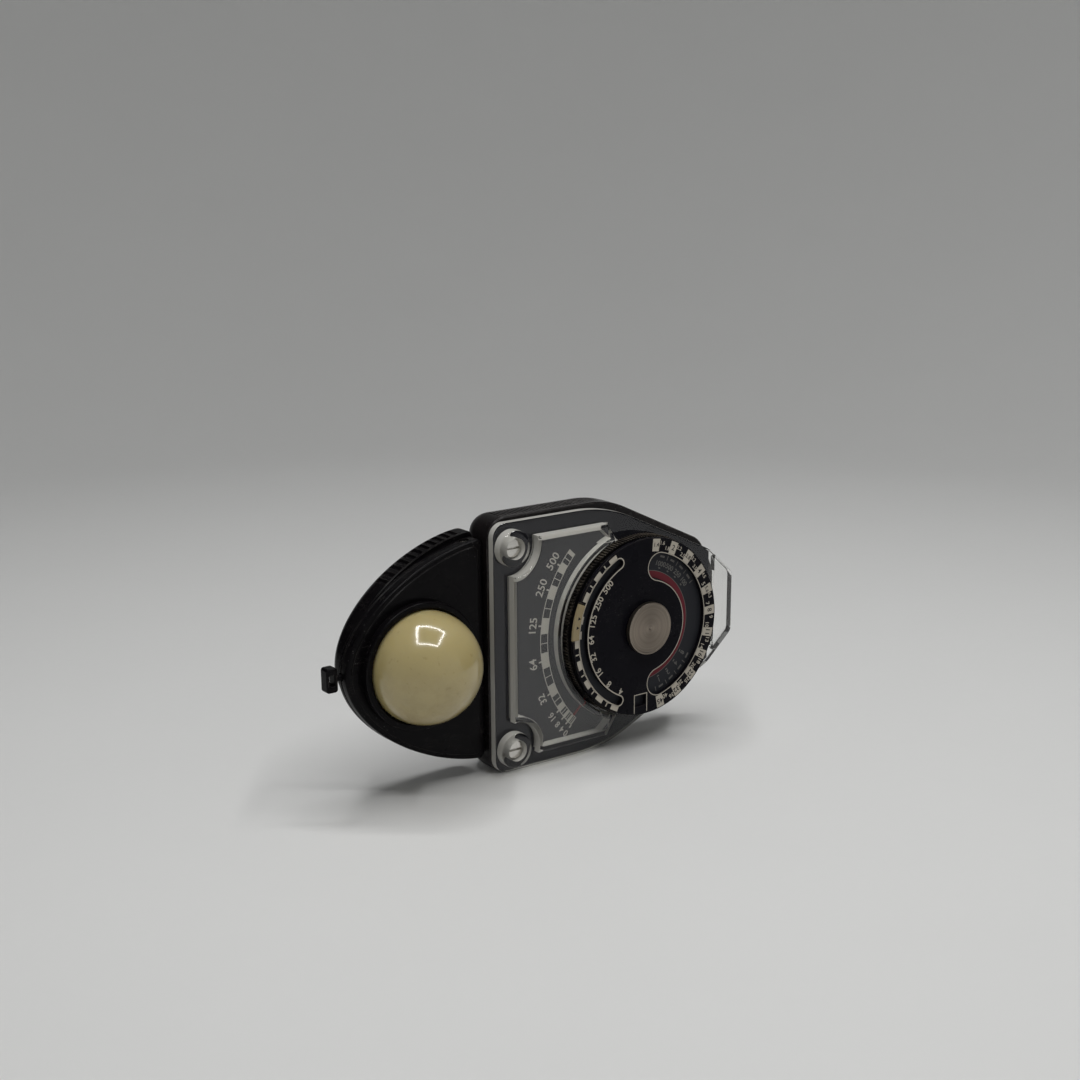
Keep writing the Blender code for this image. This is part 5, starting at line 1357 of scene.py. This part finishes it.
def make_speed_disc():
    bore = circle(BORE_R, SMALL_STEPS)
    disc = plate("speed", circle(SPEED_R), SPEED_LOW.y, SPEED_HIGH.y, [bore], edge=SHEET_EDGE)
    settle(disc, "printed_speed_disc", SPEED_FINISH, "film_dial", "speed_disc")
    level = SPEED_LOW.y
    band = inked_arc(RED_BAND_R, RED_BAND, -RED_HALF_ANGLE, RED_HALF_ANGLE, level)
    settle(band, "red_band", RED_PRINT, "film_dial")
    settle(speed_print(level), "speed_print", FAINT_INK, "film_dial")
    half = SLOT_MARK_HALF_ANGLE
    marks = [inked_arc(SLOT_MARK_R, SLOT_MARK, middle - half, middle + half, level)
             for middle in SLOT_MARKS]
    settle(combined(marks), "slot_marks", DISC_PRINT, "film_dial")


def make_top_disc():
    openings = [
        circle(BORE_R, SMALL_STEPS),
        arc_slot(SLOT_INNER_R, SLOT_OUTER_R, math.pi, SLOT_HALF_ANGLE),
        arc_slot(KIDNEY_INNER_R, KIDNEY_OUTER_R, 0, KIDNEY_HALF_ANGLE),
        film_window(),
    ]
    disc = plate("top", circle(DIAL_R, ROUND_STEPS * 2), TOP_LOW.y, TOP_HIGH.y, openings,
                 edge=DISC_EDGE)
    slack = GAP / TAB_INNER_R
    first, last = TAB_ANGLE - TAB_HALF_ANGLE - slack, TAB_ANGLE + TAB_HALF_ANGLE + slack
    notch = arc_block(TAB_INNER_R - GAP, TAB_OUTER_R + OVERRUN, first, last)
    seat = plate("seat", notch, TOP_LOW.y - OVERRUN, TAB_HIGH.y + GAP)
    settle(cut(disc, seat), "printed_top_disc", DISC_FINISH, "top_dial", "top_disc")
    level = TOP_LOW.y
    pale, dark = stop_print(level)
    pale = slot_print(level) + kidney_print(level) + window_print(level) + pale
    settle(combined(pale), "disc_print", DISC_PRINT, "top_dial")
    settle(combined(dark), "stop_digits", BLACK_INK_AND_SHADE, "top_dial")


def make_tab():
    outline = arc_block(TAB_INNER_R, TAB_OUTER_R, TAB_ANGLE - TAB_HALF_ANGLE,
                        TAB_ANGLE + TAB_HALF_ANGLE)
    tab = plate("tab", outline, TAB_LOW.y, TAB_HIGH.y, edge=DISC_EDGE)
    settle(tab, "cream_tab", TAB_FINISH, "top_dial", "index_tab")
    arrows = []
    for angle in TAB_ARROWS:
        out = Vector((math.cos(angle), math.sin(angle)))
        side = Vector((-out.y, out.x)) * TAB_ARROW_HALF
        base = out * TAB_ARROW_BASE_R
        corners = (out * TAB_ARROW_TIP_R, base + side, base - side)
        arrows.append(inked([tuple(corner) for corner in corners], TAB_LOW.y))
    settle(combined(arrows), "tab_arrows", BLACK_INK_AND_SHADE, "top_dial")


def make_cap():
    face, back = CAP_LOW.y, CAP_HIGH.y
    dished = face + CAP_DISH
    bore_end = face + CAP_FACE_WALL
    profile = [
        (0, dished + CAP_PUNCH), (CAP_PUNCH_R, dished), (CAP_R - CAP_RIM, dished),
        (CAP_R - CAP_RIM + CAP_DISH, face), (CAP_R, face), (CAP_R, back), (BORE_R, back),
        (BORE_R, bore_end), (0, bore_end),
    ]
    cap = turned("cap", eased(profile, DISC_EDGE, closed=False))
    settle(cap, "turned_cap", CAP_FINISH, "body", "dial_cap")


# Receptor

def make_receptor():
    place = (RECEPTOR.x, 0, 0)
    inner = DOME_R + GAP
    seat = DOME_HIGH.y + GAP
    back = BEZEL_HIGH.y
    shoulder = FRONT_LOW.y - GAP
    bezel = eased([
        (inner, BEZEL_LOW.y), (BEZEL_R, BEZEL_LOW.y), (BEZEL_R, shoulder), (BEZEL_NECK_R, shoulder),
        (BEZEL_NECK_R, back), (BEZEL_SEAT_R, back), (BEZEL_SEAT_R, seat), (inner, seat),
    ], BEZEL_EASE)
    settle(turned("bezel", bezel, place), "rounded_bezel", PLASTIC, "receptor", "bezel_ring")

    def quarter(radius):
        angles = [QUARTER * i / DOME_RINGS for i in range(DOME_RINGS + 1)]
        return [(radius * math.sin(a), DOME_CENTRE - radius * math.cos(a)) for a in angles]

    hollow_r = DOME_R - DOME_WALL
    profile = quarter(DOME_R) + [(DOME_R, DOME_HIGH.y), (hollow_r, DOME_HIGH.y)] + quarter(hollow_r)[::-1]
    settle(turned("dome", profile, place), "opal_dome", DOME_PLASTIC, "receptor", "dome")


# Head

def bores_through(shell_piece, start, end):
    """Bores for the swivel and for both screws, which both head shells have."""
    joint = FRONT_HIGH.x
    tools = [peg(SPINDLE_BORE_R, joint - HEAD_WALL - OVERRUN, joint + OVERRUN, (0, SWIVEL.y, 0), "X")]
    for side in (1, -1):
        tools.append(peg(SCREW_SHANK_R + GAP, start, end, (HEAD_SCREW_X, 0, side * HEAD_SCREW_Z)))
    return cut(shell_piece, *tools)


def make_head_front():
    rim, face = FRONT_HIGH.y, FRONT_LOW.y
    inside = face + FACE_WALL
    lowered = face + FACE_STEP
    line = face + SIDE_LINE
    inner = [(rim, HEAD_WALL), (inside, HEAD_WALL)]
    outer = [
        (rim, SEAM_EDGE), (rim - SEAM_EDGE, 0), (line + LINE * 2, 0),
        (line + LINE, SIDE_LINE_DEPTH), (line, SIDE_LINE_DEPTH), (line - LINE, 0),
        *turn_over(rim, lowered, HEAD_EDGE, EASE_STEPS), (lowered, FACE_RIM),
        (face + FACE_STEP / 4, FACE_RIM + FACE_STEP / 2), (face, FACE_RIM + FACE_STEP),
    ]
    front = shell("front", front_outline, inner, outer)
    for side in (1, -1):
        place = (HEAD_SCREW_X, 0, side * HEAD_SCREW_Z)
        front = fuse(front, peg(HEAD_POST_R, inside - GAP, rim, place))
    front = bores_through(front, HEAD_SCREW_LOW.y - GAP, rim + OVERRUN)
    receptor_bore = rod(BEZEL_NECK_R + GAP, face - OVERRUN, rim)
    tip = FRONT_LOW.x
    front = cut(
        front,
        turned("bore", receptor_bore, (RECEPTOR.x, 0, 0)),
        peg(LUG_NECK_R + GAP, tip - OVERRUN, tip + HEAD_WALL + OVERRUN, (0, LUG_Y, 0), "X"),
    )
    place = (SIDE_SCREW_X, LUG_Y, 0)
    well = SIDE_SCREW_HIGH.z - SIDE_SCREW_HEAD - GAP
    bottom = SIDE_SCREW_LOW.z - OVERRUN
    for axis in ("Z", "-Z"):
        front = cut(
            front,
            peg(SIDE_SCREW_SHANK_R + GAP, bottom, well + OVERRUN, place, axis),
            peg(SIDE_SCREW_HEAD_R + GAP, well, HEAD_HALF + OVERRUN, place, axis),
        )
    settle(front, "head_face", PLASTIC, "head", "head_front")


def outline_height(points, x):
    """Height of an outline's upper side at x."""
    best = 0.0
    for (x0, z0), (x1, z1) in zip(points, points[1:] + points[:1]):
        if x0 != x1 and min(x0, x1) <= x <= max(x0, x1):
            best = max(best, z0 + (z1 - z0) * (x - x0) / (x1 - x0))
    return best


def grip_tools():
    """Rounded finger grooves across both long edges of the rear shell."""
    tools = []
    start = REAR_LOW.y + GRIP_START
    for i in range(GRIP_GROOVES):
        x = GRIP_FIRST - i * GRIP_PITCH
        height = outline_height(rear_outline(), x) - REAR_RISE + GRIP_R - GRIP_DEPTH
        for side in (1, -1):
            tools.append(turned("groove", rod(GRIP_R, start, start + GRIP_LENGTH),
                                (x, 0, REAR_RISE + side * height), steps=SMALL_STEPS // 2))
    return combined(tools)


def make_head_rear():
    rim, back = REAR_LOW.y, REAR_HIGH.y
    floor = back - HEAD_WALL
    root = floor + GAP
    inner = [(rim, HEAD_WALL),
             *turn_over(rim, floor, REAR_ROUND - HEAD_WALL, EASE_STEPS, HEAD_WALL)]
    outer = [(rim, SEAM_EDGE), (rim + SEAM_EDGE, 0),
             *turn_over(rim, back, REAR_ROUND, REAR_ROUND_STEPS)]
    rear = shell("rear", rear_outline, inner, outer)
    rim_inner = (CELL_HIGH.x - CELL_LOW.x) / 2 + GAP
    rim_outer = rim_inner + CELL_RIM
    shelf = CELL_SEAT_Y + GAP
    seat = [(CELL_SEAT_R, shelf), (rim_inner, shelf), (rim_inner, rim), (rim_outer, rim),
            (rim_outer, root), (CELL_SEAT_R, root)]
    rear = fuse(rear, turned("seat", seat, (RECEPTOR.x, 0, 0)))
    well = back - SCREW_HEAD - GAP
    for side in (1, -1):
        place = (HEAD_SCREW_X, 0, side * HEAD_SCREW_Z)
        rear = fuse(rear, peg(HEAD_POST_R, rim, root, place))
        rear = cut(rear, peg(SCREW_HEAD_R + GAP, well, back + OVERRUN, place))
    rear = bores_through(rear, rim - OVERRUN, back)
    settle(cut(rear, grip_tools()), "grooved_head_back", PLASTIC, "head", "head_rear")


def make_lug():
    left, right = LUG_LOW.x, LUG_LOW.x + LUG_BLOCK_LENGTH
    middle = (left + right) / 2
    half = LUG_HIGH.z
    hole = [(middle + sx * LUG_HOLE[0] / 2, sz * LUG_HOLE[1] / 2, GAP)
            for sx, sz in ((1, -1), (1, 1), (-1, 1), (-1, -1))]
    corners = [(right, -half, LUG_CORNER), (right, half, LUG_CORNER), (left, half, LUG_CORNER),
               (left, -half, LUG_CORNER)]
    lug = plate("lug", rounded(corners), LUG_LOW.y, LUG_HIGH.y, [rounded(hole)], edge=LUG_EDGE)
    rivet = FRONT_LOW.x + HEAD_WALL + GAP
    neck = right - LUG_EDGE
    stem = [(0, neck), (LUG_NECK_R, neck), (LUG_NECK_R, rivet), (LUG_RIVET_R, rivet),
            (LUG_RIVET_R, rivet + LUG_RIVET), (0, rivet + LUG_RIVET)]
    stem = turned("stem", eased(stem, DISC_EDGE, closed=False), (0, LUG_Y, 0), "X", SMALL_STEPS)
    settle(fuse(lug, stem), "rounded_lug", PLASTIC, "head", "cord_lug")


# Screws

def make_screw(node_name, axis, head_r, head, shank_r):
    """A slotted screw in the place of its CAD node, with a flat head rounded at its edge."""
    low, high = span(node_name)
    middle = (low + high) / 2
    if axis in ("Y", "-Y"):
        length = high.y - low.y
        place = (middle.x, high.y if axis == "Y" else low.y, middle.z)
        reach = Vector((head_r + OVERRUN, head / 2, SCREW_SLOT / 2))
    else:
        length = high.z - low.z
        place = (middle.x, middle.y, high.z if axis == "Z" else low.z)
        reach = Vector((head_r + OVERRUN, SCREW_SLOT / 2, head / 2))
    profile = eased([(0, 0), (head_r, 0), (head_r, -head), (shank_r, -head), (shank_r, -length),
                     (0, -length)], SCREW_EASE, closed=False)
    screw = turned("screw", profile, place, axis, SMALL_STEPS)
    screw = cut(screw, block("slot", Vector(place) - reach, Vector(place) + reach))
    settle(screw, "fine_" + node_name, SCREW_FINISH, BODY_OF[node_name], node_name)


def make_screws():
    make_screw("rear_screw", "Y", SCREW_HEAD_R, SCREW_HEAD, SCREW_SHANK_R)
    for place, side in SIDES:
        make_screw("cover_screw_" + place, "-Y", SCREW_HEAD_R, SCREW_HEAD, SCREW_SHANK_R)
        make_screw("head_screw_" + place, "Y", SCREW_HEAD_R, SCREW_HEAD, SCREW_SHANK_R)
        make_screw("side_screw_" + place, "Z" if side > 0 else "-Z", SIDE_SCREW_HEAD_R,
                   SIDE_SCREW_HEAD, SIDE_SCREW_SHANK_R)


# Floor, light and camera

def make_stage():
    """A pale floor that sweeps up into a round backdrop."""
    profile = [(0, 0), (FLOOR_R - SWEEP_R, 0)]
    for step in range(1, SWEEP_STEPS + 1):
        angle = QUARTER * step / SWEEP_STEPS
        profile.append((FLOOR_R - SWEEP_R + SWEEP_R * math.sin(angle),
                        SWEEP_R * (1 - math.cos(angle))))
    profile.append((FLOOR_R, SWEEP_TOP))
    shape = bmesh.new()
    verts = [shape.verts.new((radius, 0, height)) for radius, height in profile]
    edges = [shape.edges.new(pair) for pair in zip(verts, verts[1:])]
    bmesh.ops.spin(shape, geom=verts + edges, axis=(0, 0, 1), cent=(0, 0, 0), steps=ROUND_STEPS,
                   angle=math.tau, use_merge=True)
    bmesh.ops.remove_doubles(shape, verts=shape.verts, dist=WELD * MM)
    mesh = mesh_from("sweep", shape)
    mesh.shade_smooth()
    sweep = as_object("sweep", mesh)
    material, tree, shader = blank("floor_white", Specular_IOR_Level=0.2)
    grains = group(tree, GRAIN, Scale=400.0)
    worn_floor = tuple(channel * FLOOR_DRIFT for channel in FLOOR_COLOUR)
    tree.links.new(blended(tree, grains["Drift"], FLOOR_COLOUR, worn_floor), shader.inputs["Base Color"])
    tree.links.new(ranged(tree, grains["Fine"], 0.3, 0.7, 0.5, 0.65), shader.inputs["Roughness"])
    mesh.materials.append(material)


def make_lamps():
    """A square frame of strip lamps overhead, and soft ambient light."""
    for i in range(4):
        light = bpy.data.lights.new("strip_%d" % i, "AREA")
        light.shape = "RECTANGLE"
        light.size = LAMP_SIDE
        light.size_y = LAMP_WIDTH
        light.energy = LAMP_POWER
        lamp = as_object("strip_%d" % i, light)
        turn = Matrix.Rotation(CAMERA_AZIMUTH + i * QUARTER, 4, "Z")
        centre = Matrix.Translation((0, LAMP_Y, LAMP_HEIGHT))
        lamp.matrix_world = centre @ turn @ Matrix.Translation((0, LAMP_SIDE / 2, 0))
    world = bpy.data.worlds.new("soft_light")
    bpy.context.scene.world = world
    world.use_nodes = True
    background = world.node_tree.nodes["Background"]
    background.inputs["Color"].default_value = (*SOFT_LIGHT, 1)
    background.inputs["Strength"].default_value = AMBIENT


def make_flags():
    """Dark cards beside the picture and behind it: they give the clear plastic its dark edges."""
    half = FLAG_WIDTH / 2
    corners = [(FLAG_R, -half, 0), (FLAG_R, half, 0), (FLAG_R, half, FLAG_HEIGHT),
               (FLAG_R, -half, FLAG_HEIGHT)]
    for name, azimuth in (("flag_right", FLAG_RIGHT), ("flag_back", FLAG_BACK)):
        shape = bmesh.new()
        turn = Matrix.Rotation(azimuth, 4, "Z")
        shape.faces.new([shape.verts.new(turn @ Vector(corner)) for corner in corners])
        mesh = mesh_from(name, shape)
        mesh.materials.append(BLACK_INK_AND_SHADE)
        card = as_object(name, mesh)
        card.visible_camera = False
        card.visible_shadow = False
        card.visible_diffuse = False


def make_camera():
    """The photograph's view: the dial's axis falls on its pixel through the lens shift."""
    out = math.cos(CAMERA_ELEVATION)
    back = Vector((math.sin(CAMERA_AZIMUTH) * out, -math.cos(CAMERA_AZIMUTH) * out,
                   math.sin(CAMERA_ELEVATION)))
    level = Vector((math.cos(CAMERA_AZIMUTH), math.sin(CAMERA_AZIMUTH), 0))
    upright = back.cross(level)
    right = level * math.cos(CAMERA_ROLL) + upright * math.sin(CAMERA_ROLL)
    up = upright * math.cos(CAMERA_ROLL) - level * math.sin(CAMERA_ROLL)
    lens = bpy.data.cameras.new("camera")
    lens.lens = LENS
    lens.sensor_width = SENSOR
    lens.shift_x = (IMAGE / 2 - DIAL_PIXEL[0]) / IMAGE
    lens.shift_y = (DIAL_PIXEL[1] - IMAGE / 2) / IMAGE
    lens.clip_start = NEAREST
    camera = as_object("camera", lens)
    turn = Matrix((right, up, back)).transposed().to_4x4()
    camera.matrix_world = Matrix.Translation(DIAL + back * CAMERA_DISTANCE) @ turn
    bpy.context.scene.camera = camera
    bpy.context.scene.view_settings.view_transform = "Standard"


make_case()
make_cover()
make_scale()
make_base_disc()
make_speed_disc()
make_top_disc()
make_tab()
make_cap()
make_receptor()
make_head_front()
make_head_rear()
make_lug()
make_screws()
make_stage()
make_lamps()
make_flags()
make_camera()
